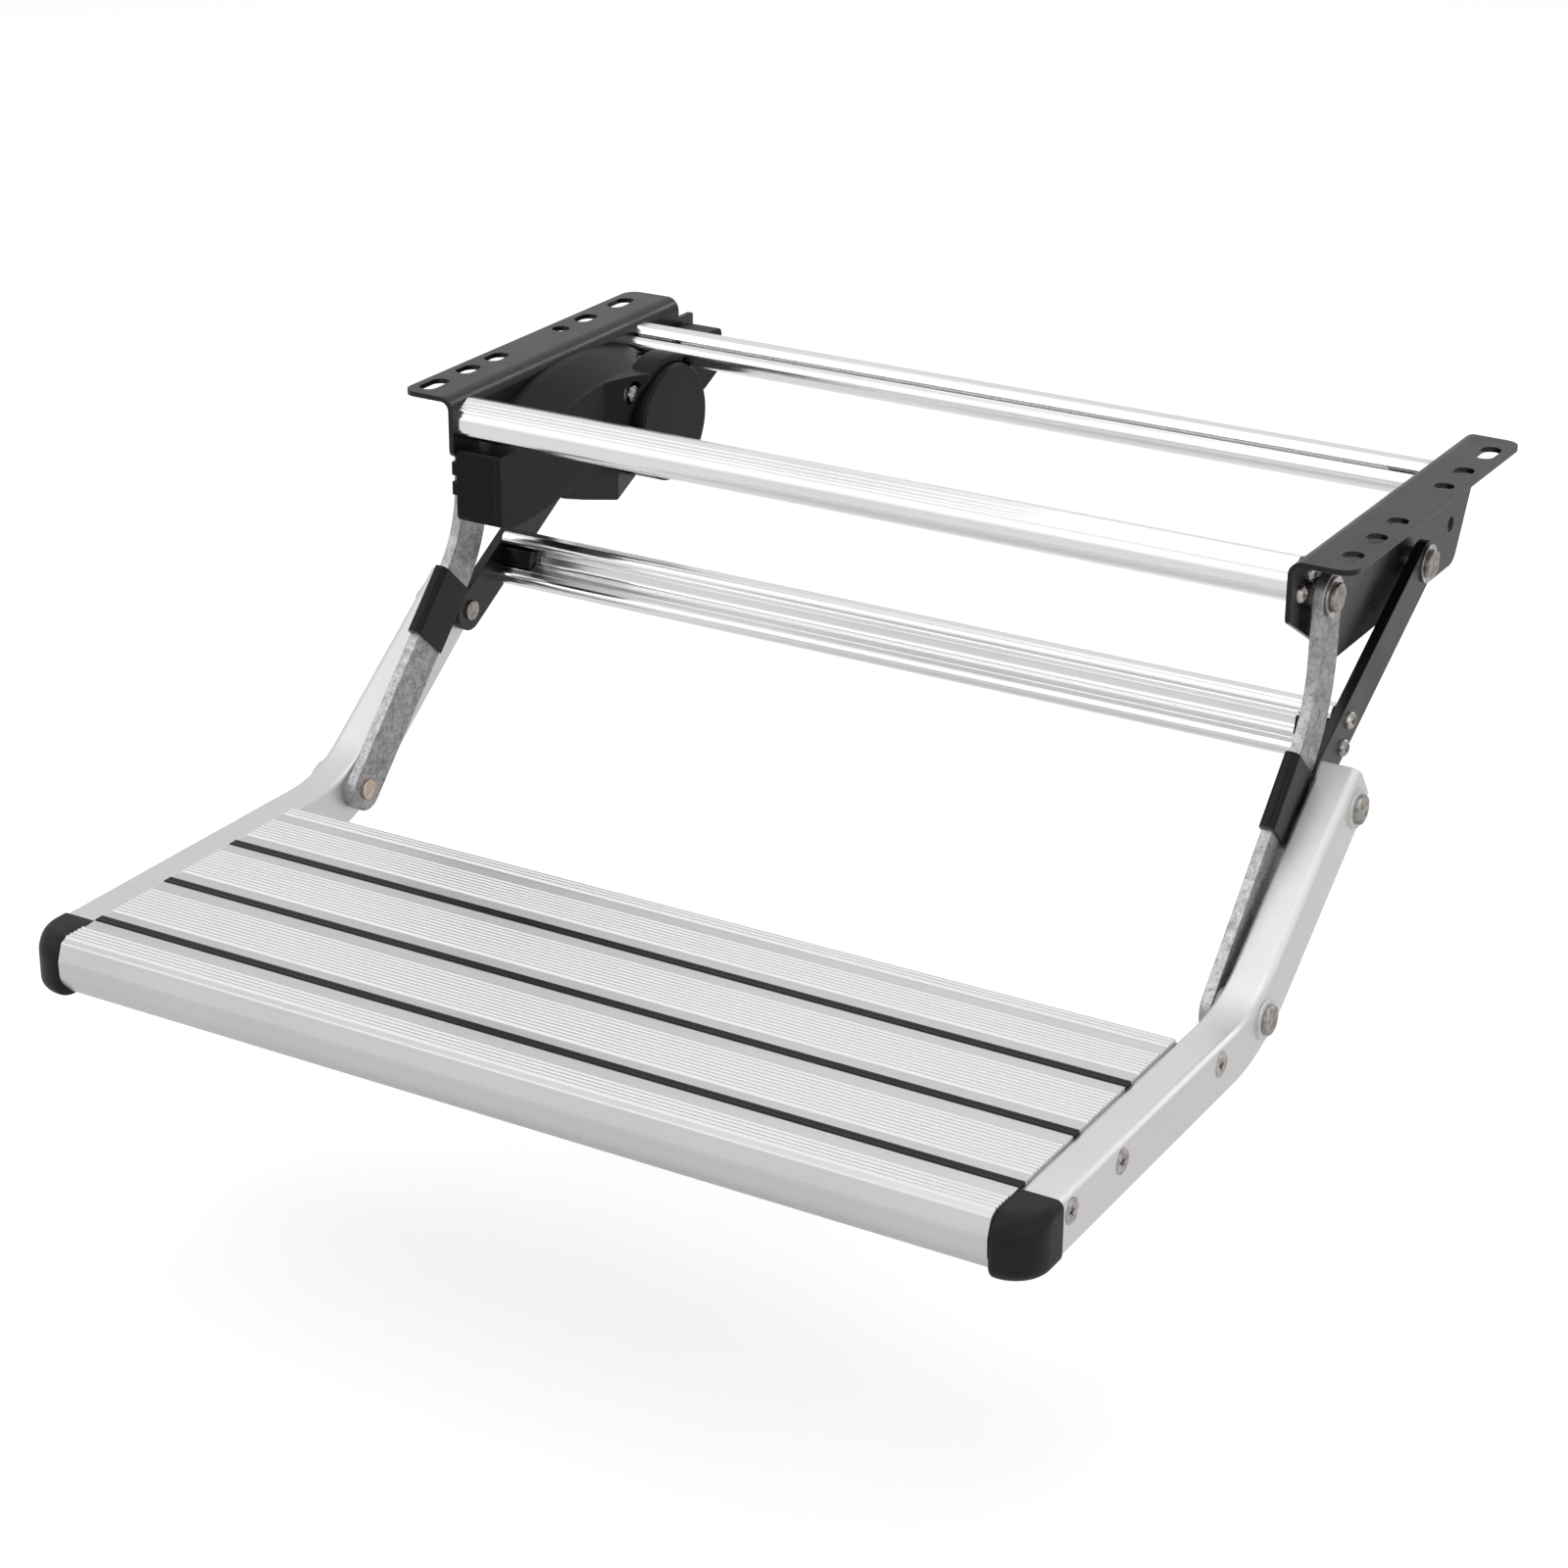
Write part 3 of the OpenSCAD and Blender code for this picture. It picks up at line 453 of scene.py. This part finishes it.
def motor_collar():
    """Collar: a rectangle with a rounded rim carried round the drum, as high as the hood's face there.

    The face rises in proportion to y over the flare. Each point of the rim is a radius and a drop below the
    face, and an endless drop ends at the collar's foot."""
    angle = np.linspace(COLLAR_FROM, COLLAR_TO, COLLAR_ROWS)[:, None]
    inner = MOTOR_RADIUS + COLLAR_GAP
    outer = MOTOR_RADIUS + COLLAR_WIDTH
    flared = np.clip((MOTOR[0] + outer * np.cos(angle) - FLARE_START) / (FLARE_END - FLARE_START), 0, 1)
    face = HOOD_DEPTH + FLARE * flared + COLLAR_PROUD
    rim = [(outer - 1.4, 0.0), (outer - 0.45, 0.45), (outer, 1.4), (outer, np.inf), (inner, np.inf),
           (inner, 1.0), (inner + 0.5, 0.3)]
    radius, drop = np.array(rim).T
    depth = np.maximum(face - drop, COLLAR_FOOT)
    y = MOTOR[0] + radius * np.cos(angle)
    z = MOTOR[1] + radius * np.sin(angle)
    return closed_grid(np.stack([depth - WEB_IN, y, z], axis=-1))


moulding = coated("black_moulding", MOULDING, MOULDING_RUBBED, MOULDING_EDGE_WEAR_AND_HIGHLIGHT, rough=(0.31, 0.41), gloss=0.14,
                  grain=1500.0, depth=0.00002, edge=0.0012, tint=MOULDING_GLOSS_TINT)
finish(moulding, "gear_housing", "gear_casing", "lower_cover", "cable_box", "motor_housing", "motor_cap")
make_piece("motor_collar", [motor_collar()], moulding, "frame", [])

# Hood bolt: a zinc plated bolt from the web, with a washer and a locking nut on its end.
# A raised seat of the hood's own moulding brings the nut's end level with the hood's face.
SEAT_FOOT = 26.5 - WEB_IN
SEAT_TOP = 33.0 - WEB_IN
SEAT_RADIUS = 7.35
SEAT_RIM = 0.25
SEAT_EDGE = 0.2
BOLT_RADIUS = 2.5
BOLT_PROUD = 0.4
HOOD_WASHER = 1.0
HOOD_WASHER_HOLE = 2.4
HOOD_WASHER_RADIUS = 6.3
WASHER_RIM = 0.3
NUT_ACROSS = 9.0
NUT_HEIGHT = 3.8
NUT_CHAMFER = 0.5
NUT_AROUND = 48


def hexagon_nut(start, across, height):
    """Nut: the radius is half the width across flats over the cosine of the angle to the nearest flat.

    It is held below a share of the corner's radius that shrinks at both ends, which chamfers the corners."""
    flat = across / 2 / np.cos(full_turn(NUT_AROUND) % (np.pi / 3) - np.pi / 6)
    x = start + np.array([0.0, NUT_CHAMFER, height - NUT_CHAMFER, height, height])[:, None]
    corner = across / math.sqrt(3) * np.array([0.93, 1.0, 1.0, 0.90, 0.55])[:, None]
    return about_x(x, np.minimum(flat, corner), NUT_AROUND)


def washer(hole, radius, start, end):
    """Stamped washer with its rims rounded."""
    return turned([(start, hole), (start, radius - WASHER_RIM), (start + WASHER_RIM, radius),
                   (end - WASHER_RIM, radius), (end, radius - WASHER_RIM), (end, hole)])


hood_bolt = middle("housing_bolt")
nut_start = SEAT_TOP + HOOD_WASHER
bolt_end = nut_start + NUT_HEIGHT
seat = turned([(SEAT_FOOT, ON_AXIS), (SEAT_FOOT, SEAT_RADIUS), (SEAT_TOP - SEAT_EDGE, SEAT_RADIUS),
               (SEAT_TOP, SEAT_RADIUS - SEAT_RIM), (SEAT_TOP, ON_AXIS)])
bolt = turned([(-WEB_IN, BOLT_RADIUS), (bolt_end, BOLT_RADIUS),
               (bolt_end + BOLT_PROUD, BOLT_RADIUS - BOLT_PROUD), (bolt_end + BOLT_PROUD, ON_AXIS)])
bolt_and_nut = [washer(HOOD_WASHER_HOLE, HOOD_WASHER_RADIUS, SEAT_TOP, nut_start),
                hexagon_nut(nut_start, NUT_ACROSS, NUT_HEIGHT), bolt]
make_piece("hood_bolt_seat", put([seat], 0, *hood_bolt), moulding, "frame", [])
make_piece("hood_bolt_and_nut", put(bolt_and_nut, 0, *hood_bolt), screw_steel, "frame", ["housing_bolt"],
           smooth=25)

# Bracket pivots: shouldered steel pins riveted through each web, with a washer under the head.
# A shallow ring is turned in each head's face; spacers keep the arms off the web.
PIN_STEEL = (0.44, 0.41, 0.38)
PIN_STAIN = (0.22, 0.20, 0.18)
PIN_RADIUS = 6.0
PIN_CHAMFER = 0.5
PIN_HEAD = 3.0
PIN_HEAD_RADIUS = 8.0
RING_DEPTH = 0.25
WASHER = 1.5
ARM_IN, ARM_OUT = faces_across("right_rear_arm")


def pivot_pin(start, shoulder):
    """Pin: a shank from start to shoulder, then a chamfered head with a shallow ring in its face."""
    end = shoulder + PIN_HEAD
    shank = [(start, PIN_RADIUS - PIN_CHAMFER), (start + PIN_CHAMFER, PIN_RADIUS), (shoulder, PIN_RADIUS)]
    head = [(shoulder, PIN_HEAD_RADIUS - 0.3), (shoulder + 0.3, PIN_HEAD_RADIUS),
            (end - 0.7, PIN_HEAD_RADIUS), (end - 0.2, PIN_HEAD_RADIUS - 0.35), (end, PIN_HEAD_RADIUS - 0.9)]
    ring = [(end, PIN_HEAD_RADIUS * 0.52), (end - RING_DEPTH, PIN_HEAD_RADIUS * 0.48),
            (end - RING_DEPTH, PIN_HEAD_RADIUS * 0.40), (end, PIN_HEAD_RADIUS * 0.36), (end, ON_AXIS)]
    return turned(shank + head + ring)


def make_pins(pins):
    """A turned pin for each node name, shape, material and body, on the left side and then on the right."""
    for side_name, side in SIDES:
        for pin, shape, material, body in pins:
            node = f"{side_name}_{pin}"
            make_piece(f"{node}_turned", put([shape], 0, *middle(node), side), material, body, [node])


pin_steel = steel("pin_steel", PIN_STEEL, PIN_STAIN, rough=(0.46, 0.30))
bracket_pin = pivot_pin(WEB_IN, ARM_OUT + WASHER)
finish(screw_steel, "pivot_washers", "pivot_spacers")
make_pins([("front_arm_pin", bracket_pin, pin_steel, "frame"),
           ("rear_arm_pin", bracket_pin, pin_steel, "frame")])

# Rear arms and cross bar: flat steel arms in the brackets' black coat, joined by a wide ribbed extrusion.
# Rubber strips fill its grooves, and two tapping screws hold it at each end.
CROSS_PORTS = ((-83.0, -110.0), (-90.0, -123.5))
RUBBER = (0.0045, 0.0042, 0.0055)
RUBBER_RUBBED = (0.012, 0.0115, 0.0135)
RUBBER_EDGE = (0.022, 0.021, 0.024)

rubber = coated("black_rubber", RUBBER, RUBBER_RUBBED, RUBBER_EDGE, rough=(0.24, 0.34), gloss=0.18,
                grain=500.0, depth=0.00004, edge=0.0008)
finish(powder_coat, "left_rear_arm", "right_rear_arm")
finish(bright_tube, "lower_cross_bar")
finish(rubber, "cross_bar_inserts")
make_piece("cross_bar_screws_threaded", on_both_sides(pan_screw, ARM_OUT, CROSS_PORTS),
           screw_steel, "rear_arms", ["cross_bar_screws"])

# Front arms: bent flat steel, blanked and then hot dip galvanised.
# Crystal patches cover the flat faces, and the cut edges are brighter and coarser.
# A rubber sleeve stops each arm from knocking on the rear one.
ZINC_DARK = (0.14, 0.137, 0.145)
ZINC_LIGHT = (0.53, 0.52, 0.54)
CUT_DARK = (0.20, 0.20, 0.21)
CUT_LIGHT = (0.62, 0.62, 0.63)


def galvanised():
    """Crystals from a cell pattern, with patches and faint scratches mixed over them.

    Faces that look along X are the flat ones, and all others are cut edges."""
    material, tree, shader = new_material("galvanised_steel")
    link = tree.links.new
    coords = add(tree, "TexCoord")
    cells = add(tree, "TexVoronoi", {"Scale": 620.0})
    gray = add(tree, "RGBToBW")
    patches = place_group(tree, CLOUDS, {"Scale": 120.0, "Roughness": 0.8, "Low": 0.38, "High": 0.62})
    scratches = place_group(tree, DIE_LINES, {"Stretch": (1.0, 0.35, 1.0), "Scale": 1500.0})
    crystals = add(tree, "Mix", {"Factor": 0.45}, data_type="FLOAT")
    flecked = add(tree, "Mix", {"Factor": 0.22}, data_type="FLOAT")
    link(coords.outputs["Object"], cells.inputs["Vector"])
    link(cells.outputs["Color"], gray.inputs["Color"])
    link(gray.outputs["Val"], crystals.inputs["A"])
    link(patches["Mask"], crystals.inputs["B"])
    link(crystals.outputs["Result"], flecked.inputs["A"])
    link(scratches["Lines"], flecked.inputs["B"])
    pattern = flecked.outputs["Result"]
    facing = add(tree, "NewGeometry")
    split = add(tree, "SeparateXYZ")
    sideways = add(tree, "Math", operation="ABSOLUTE")
    cut = add(tree, "MapRange", {"From Min": 0.65, "From Max": 0.35})
    link(facing.outputs["True Normal"], split.inputs["Vector"])
    link(split.outputs["X"], sideways.inputs[0])
    link(sideways.outputs["Value"], cut.inputs["Value"])
    flat_color = mixed(tree, pattern, ZINC_DARK, ZINC_LIGHT)
    cut_color = mixed(tree, pattern, CUT_DARK, CUT_LIGHT)
    link(mixed(tree, cut.outputs["Result"], flat_color, cut_color), shader["Base Color"])
    link(ranged(tree, pattern, 0.52, 0.36), shader["Roughness"])
    relief = add(tree, "Bump", {"Distance": 0.00014, "Strength": 1.0})
    rounded = add(tree, "Bevel", {"Radius": 0.0008}, samples=6)
    link(pattern, relief.inputs["Height"])
    link(relief.outputs["Normal"], rounded.inputs["Normal"])
    link(rounded.outputs["Normal"], shader["Normal"])
    shader["Metallic"].default_value = 1.0
    return material


finish(galvanised(), "left_front_arm", "right_front_arm")
finish(rubber, "left_arm_sleeve", "right_arm_sleeve")

# Side bars: flat oval aluminium extrusions with lengthwise die lines, bent up at the rear, satin anodised.
# Steel pins hinge them on the arms, and the lower pins' ends are riveted over the arms' inner faces.
# Natural nylon washers lie on both faces of each bar.
BAR_LIGHT = (0.75, 0.725, 0.73)
BAR_DULL = (0.70, 0.68, 0.69)
ALONG_Y = (1.0, 0.002, 1.0)
PLATED = (0.66, 0.55, 0.46)
PLATED_STAIN = (0.46, 0.37, 0.30)
NYLON_LIGHT = (0.80, 0.79, 0.76)
NYLON_DARK = (0.60, 0.58, 0.55)
BAR_IN, BAR_OUT = faces_across("right_side_bar")
PIN_FOOT = ARM_IN - 2.0
PIN_GAP = 0.3


def natural_nylon():
    """Unpigmented nylon: faintly clouded, with some light carried under its skin."""
    material, tree, shader = new_material("natural_nylon")
    patches = place_group(tree, CLOUDS, {"Scale": 300.0, "Low": 0.3, "High": 0.7})["Mask"]
    skin = place_group(tree, SKIN, {"Grain": 1800.0, "Depth": 0.00001, "Edge": 0.0003})
    tree.links.new(mixed(tree, patches, NYLON_DARK, NYLON_LIGHT), shader["Base Color"])
    tree.links.new(ranged(tree, patches, 0.50, 0.40), shader["Roughness"])
    tree.links.new(skin["Normal"], shader["Normal"])
    shader["Subsurface Weight"].default_value = 0.15
    return material


def riveted_end():
    """Inner end of a lower pin, through the arm: a chamfered disc with a shallow ring in its face."""
    ring = [(PIN_FOOT, ON_AXIS), (PIN_FOOT, 2.0), (PIN_FOOT + RING_DEPTH, 2.3),
            (PIN_FOOT + RING_DEPTH, 2.9), (PIN_FOOT, 3.2)]
    rim = [(PIN_FOOT, 5.4), (PIN_FOOT + PIN_CHAMFER, PIN_RADIUS), (ARM_OUT, PIN_RADIUS), (ARM_OUT, ON_AXIS)]
    return turned(ring + rim)


satin_bar = extruded("satin_bar", BAR_LIGHT, BAR_DULL, ALONG_Y, rough=(0.40, 0.46), metallic=0.82,
                     depth=0.000002, edge=0.0006)
plated_pin = steel("plated_pin", PLATED, PLATED_STAIN, rough=(0.48, 0.32))
finish(satin_bar, "left_side_bar", "right_side_bar")
finish(natural_nylon(), "outer_nylon_washers", "inner_nylon_washers")
make_pins([("upper_bar_pin", pivot_pin(PIN_FOOT, BAR_OUT + WASHER), pin_steel, "step"),
           ("lower_bar_pin", pivot_pin(ARM_OUT + PIN_GAP, BAR_OUT + WASHER), pin_steel, "step"),
           ("lower_pin_end", riveted_end(), plated_pin, "front_arms")])

# Tread: one wide aluminium extrusion with raised ribs, satin anodised, with three rubber grip strips.
# The strips sit in its slots. Countersunk tapping screws hold it between the side bars, three on each side.
TREAD_LIGHT = (0.69, 0.68, 0.68)
TREAD_DULL = (0.63, 0.62, 0.62)
TREAD_PORTS = ((-459.5, -216.5), (-405.5, -216.5), (-291.5, -216.5))
FLAT_RADIUS = 6.5
FLAT_TOP = 0.4
FLAT_SINK = 2.2
FLAT_RIM = 0.2
FLAT_REACH = 3.4
LONG_THREAD = 41.0
THREAD_GAP = 0.2


def flat_top(radius):
    """Flat face of a countersunk head: the same height at every radius."""
    return np.full_like(radius, FLAT_TOP)


satin_tread = extruded("satin_tread", TREAD_LIGHT, TREAD_DULL, ALONG_X, rough=(0.42, 0.48), metallic=0.82,
                       depth=0.000003, edge=0.0001)
finish(satin_tread, "tread_board")
finish(rubber, "front_grip_strip", "middle_grip_strip", "rear_grip_strip")
countersink = [(-FLAT_SINK, SHANK_RADIUS), (-FLAT_SINK, FLAT_RADIUS - 0.4), (-0.1, FLAT_RADIUS - 0.05),
               (0.35, FLAT_RADIUS)]
flat_screw = [screw_head(countersink, FLAT_RADIUS - FLAT_RIM, flat_top, FLAT_REACH),
              thread(-LONG_THREAD, -FLAT_SINK - THREAD_GAP)]
make_piece("tread_screws_threaded", on_both_sides(flat_screw, BAR_OUT, TREAD_PORTS),
           screw_steel, "step", ["tread_screws"])

# End caps: black plastic plugs in the bars' front ends, level with the tread's nose.
# Rounded widely over the outer corner in plan and over the top and bottom of the front.
CAP = (0.0095, 0.0097, 0.0088)
CAP_RUBBED = (0.017, 0.0172, 0.016)
CAP_EDGE = (0.030, 0.030, 0.028)
OUTER_CORNER = 20.0
INNER_CORNER = 3.0
CORNER_GAP = 0.5
CAP_ROWS = 33
OUTER_POINTS = 17
INNER_POINTS = 7
CAP_SETBACK = 1.2
CAP_RISE = 0.2
TOP_ROUNDING = 12.0
BOTTOM_ROUNDING = 8.5
TOP_TAPER = 4.5
BOTTOM_TAPER = 6.0

cap_low, cap_high = extent("right_end_cap")
CAP_SIDE = cap_high[0]
CAP_FRONT = cap_low[1] + CAP_SETBACK
CAP_REAR = extent("right_side_bar")[0][1]
CAP_BOTTOM = cap_low[2]
CAP_TOP = cap_high[2] + CAP_RISE


def rounding(distance, radius):
    """How far a quarter circle lies inside a corner: radius less the root of radius squared less gap squared.

    The gap is what is left of the radius at a distance from the corner's end."""
    gap = np.maximum(radius - distance, 0)
    return radius - np.sqrt(radius ** 2 - gap ** 2)


def end_cap(side):
    """Cap: level outlines from bottom to top, closer together at both ends by a cosine.

    Each has a small inner and a wide outer corner, and is drawn in by the rounding at the top and bottom."""
    level = 0.5 - 0.5 * np.cos(np.pi * np.linspace(0, 1, CAP_ROWS))[:, None]
    z = CAP_BOTTOM + (CAP_TOP - CAP_BOTTOM) * level
    front = CAP_FRONT + rounding(CAP_TOP - z, TOP_ROUNDING) + rounding(z - CAP_BOTTOM, BOTTOM_ROUNDING)
    outside = CAP_SIDE - rounding(CAP_TOP - z, TOP_TAPER) - rounding(z - CAP_BOTTOM, BOTTOM_TAPER)
    room_across = outside - BAR_IN - INNER_CORNER - CORNER_GAP
    room_along = CAP_REAR - front - CORNER_GAP
    wide = np.minimum(OUTER_CORNER, np.minimum(room_across, room_along))
    turn_in = np.radians(np.linspace(-90, 0, INNER_POINTS))
    turn_out = np.radians(np.linspace(0, 90, OUTER_POINTS))
    x = np.hstack([BAR_IN + 0 * z, BAR_IN + INNER_CORNER * (1 + np.sin(turn_in)) + 0 * z,
                   outside - wide + wide * np.sin(turn_out), outside])
    y = np.hstack([CAP_REAR + 0 * z, front + INNER_CORNER * (1 - np.cos(turn_in)),
                   front + wide * (1 - np.cos(turn_out)), CAP_REAR + 0 * z])
    points = np.stack([x, y, z + 0 * x], axis=-1)
    return closed_grid(points if side > 0 else points[:, ::-1] * np.array([-1, 1, 1]))


cap_plastic = coated("cap_moulding", CAP, CAP_RUBBED, CAP_EDGE, rough=(0.39, 0.49), gloss=0.18,
                     grain=1200.0, depth=0.00002, edge=0.0015)
for side_name, side in SIDES:
    make_piece(f"{side_name}_end_cap_moulded", [end_cap(side)], cap_plastic, "step", [f"{side_name}_end_cap"],
               smooth=50)

# Studio floor: one wide sheet of pale paper below the step, which keeps its soft shadow.
# It is lifted to white for the camera, and glows a little in the step's gloss.
FLOOR_Z = -0.42
FLOOR_HALF = 12.0
FLOOR_PAPER = (0.90, 0.90, 0.90)
FLOOR_LIFT = 0.40
FLOOR_GLOSS = 0.03


def studio_floor():
    """Square sheet of matt paper; its glow is a small value for reflections plus the lift for the camera."""
    corners = [(x * FLOOR_HALF, y * FLOOR_HALF, FLOOR_Z) for x, y in ((-1, -1), (1, -1), (1, 1), (-1, 1))]
    mesh = bpy.data.meshes.new("floor")
    mesh.from_pydata(corners, [], [(0, 1, 2, 3)])
    floor = bpy.data.objects.new("floor", mesh)
    bpy.context.scene.collection.objects.link(floor)
    material, tree, shader = new_material("pale_floor")
    shader["Base Color"].default_value = (*FLOOR_PAPER, 1)
    shader["Roughness"].default_value = 1.0
    shader["Specular IOR Level"].default_value = 0.0
    shader["Emission Color"].default_value = (1, 1, 1, 1)
    path = add(tree, "LightPath")
    glow = add(tree, "Math", {1: FLOOR_GLOSS}, operation="MULTIPLY_ADD")
    tree.links.new(path.outputs["Is Glossy Ray"], glow.inputs[0])
    tree.links.new(ranged(tree, path.outputs["Is Camera Ray"], 0.0, FLOOR_LIFT), glow.inputs[2])
    tree.links.new(glow.outputs["Value"], shader["Emission Strength"])
    mesh.materials.append(material)


studio_floor()

# Studio light: a white room to the camera, brightest in front of the step in reflections.
# Five soft boxes stand in it, with places and sizes in metres.
ROOM_FRONT = 0.95
ROOM_REAR = 0.76
ROOM_AROUND = 0.56
FALL_START = -0.35
FALL_END = 0.45


def studio_room():
    """World: strength 1 for the camera, a front to rear fall for gloss, and one level for soft light."""
    world = bpy.data.worlds.new("studio")
    bpy.context.scene.world = world
    world.use_nodes = True
    tree = world.node_tree
    tree.nodes.clear()
    link = tree.links.new
    split = add(tree, "SeparateXYZ")
    room = add(tree, "MapRange", {"From Min": FALL_START, "From Max": FALL_END,
                                  "To Min": ROOM_FRONT, "To Max": ROOM_REAR})
    path = add(tree, "LightPath")
    reflected = add(tree, "Mix", {"A": ROOM_AROUND}, data_type="FLOAT")
    seen = add(tree, "Mix", {"B": 1.0}, data_type="FLOAT")
    background = add(tree, "Background", {"Color": (1, 1, 1, 1)})
    link(add(tree, "TexCoord").outputs["Generated"], split.inputs["Vector"])
    link(split.outputs["Y"], room.inputs["Value"])
    link(path.outputs["Is Glossy Ray"], reflected.inputs["Factor"])
    link(room.outputs["Result"], reflected.inputs["B"])
    link(path.outputs["Is Camera Ray"], seen.inputs["Factor"])
    link(reflected.outputs["Result"], seen.inputs["A"])
    link(seen.outputs["Result"], background.inputs["Strength"])
    link(background.outputs["Background"], add(tree, "OutputWorld").inputs["Surface"])


def soft_box(name, place, target, size, watts):
    """Rectangular area lamp turned to its target."""
    data = bpy.data.lights.new(name, "AREA")
    data.shape = "RECTANGLE"
    data.size, data.size_y = size
    data.energy = watts
    lamp = bpy.data.objects.new(name, data)
    lamp.location = place
    lamp.rotation_euler = (Vector(target) - Vector(place)).to_track_quat("-Z", "Y").to_euler()
    bpy.context.scene.collection.objects.link(lamp)


studio_room()
soft_box("key", place=(-1.6, -2.2, 2.4), target=(0, -0.15, -0.1), size=(3.0, 2.4), watts=20)
soft_box("fill", place=(2.4, -1.2, 1.0), target=(0, -0.15, -0.1), size=(1.8, 1.8), watts=10)
soft_box("rim", place=(-0.6, 2.4, 2.6), target=(0, -0.1, -0.1), size=(2.6, 2.0), watts=5)
soft_box("edge", place=(0.95, 2.3, 1.35), target=(-0.1, -0.1, -0.1), size=(0.9, 0.6), watts=7)
soft_box("top", place=(0.1, 0.1, 2.6), target=(0, -0.1, -0.1), size=(2.4, 1.6), watts=12)

# Camera: the photograph's viewpoint, as a place, a heading, a tilt and a slight roll.
# It stands in front of the step and to its right, about 2 m away, and looks down on it.
AZIMUTH = math.radians(-30.26)
ELEVATION = math.radians(23.523)
ROLL = math.radians(-0.3765)
EYE = Vector((0.91731, -1.78742, 0.63274))
FOCAL_PIXELS = 3705.93
FRAME_PIXELS = 1600
SENSOR = 36.0


def camera():
    """Camera whose right and up axes are square to its heading, then rolled about it."""
    ahead = Vector((math.sin(AZIMUTH) * math.cos(ELEVATION), math.cos(AZIMUTH) * math.cos(ELEVATION),
                    -math.sin(ELEVATION)))
    level = ahead.cross(Vector((0, 0, 1))).normalized()
    down = ahead.cross(level)
    right = level * math.cos(ROLL) + down * math.sin(ROLL)
    up = level * math.sin(ROLL) - down * math.cos(ROLL)
    data = bpy.data.cameras.new("camera")
    data.sensor_width = SENSOR
    data.lens = FOCAL_PIXELS / FRAME_PIXELS * SENSOR
    data.clip_start = 0.01
    data.clip_end = 60.0
    eye = bpy.data.objects.new("camera", data)
    axes = Matrix((right, up, -ahead)).transposed().to_4x4()
    eye.matrix_world = Matrix.Translation(EYE) @ axes
    bpy.context.scene.collection.objects.link(eye)
    bpy.context.scene.camera = eye


camera()
bpy.context.scene.view_settings.view_transform = "Standard"
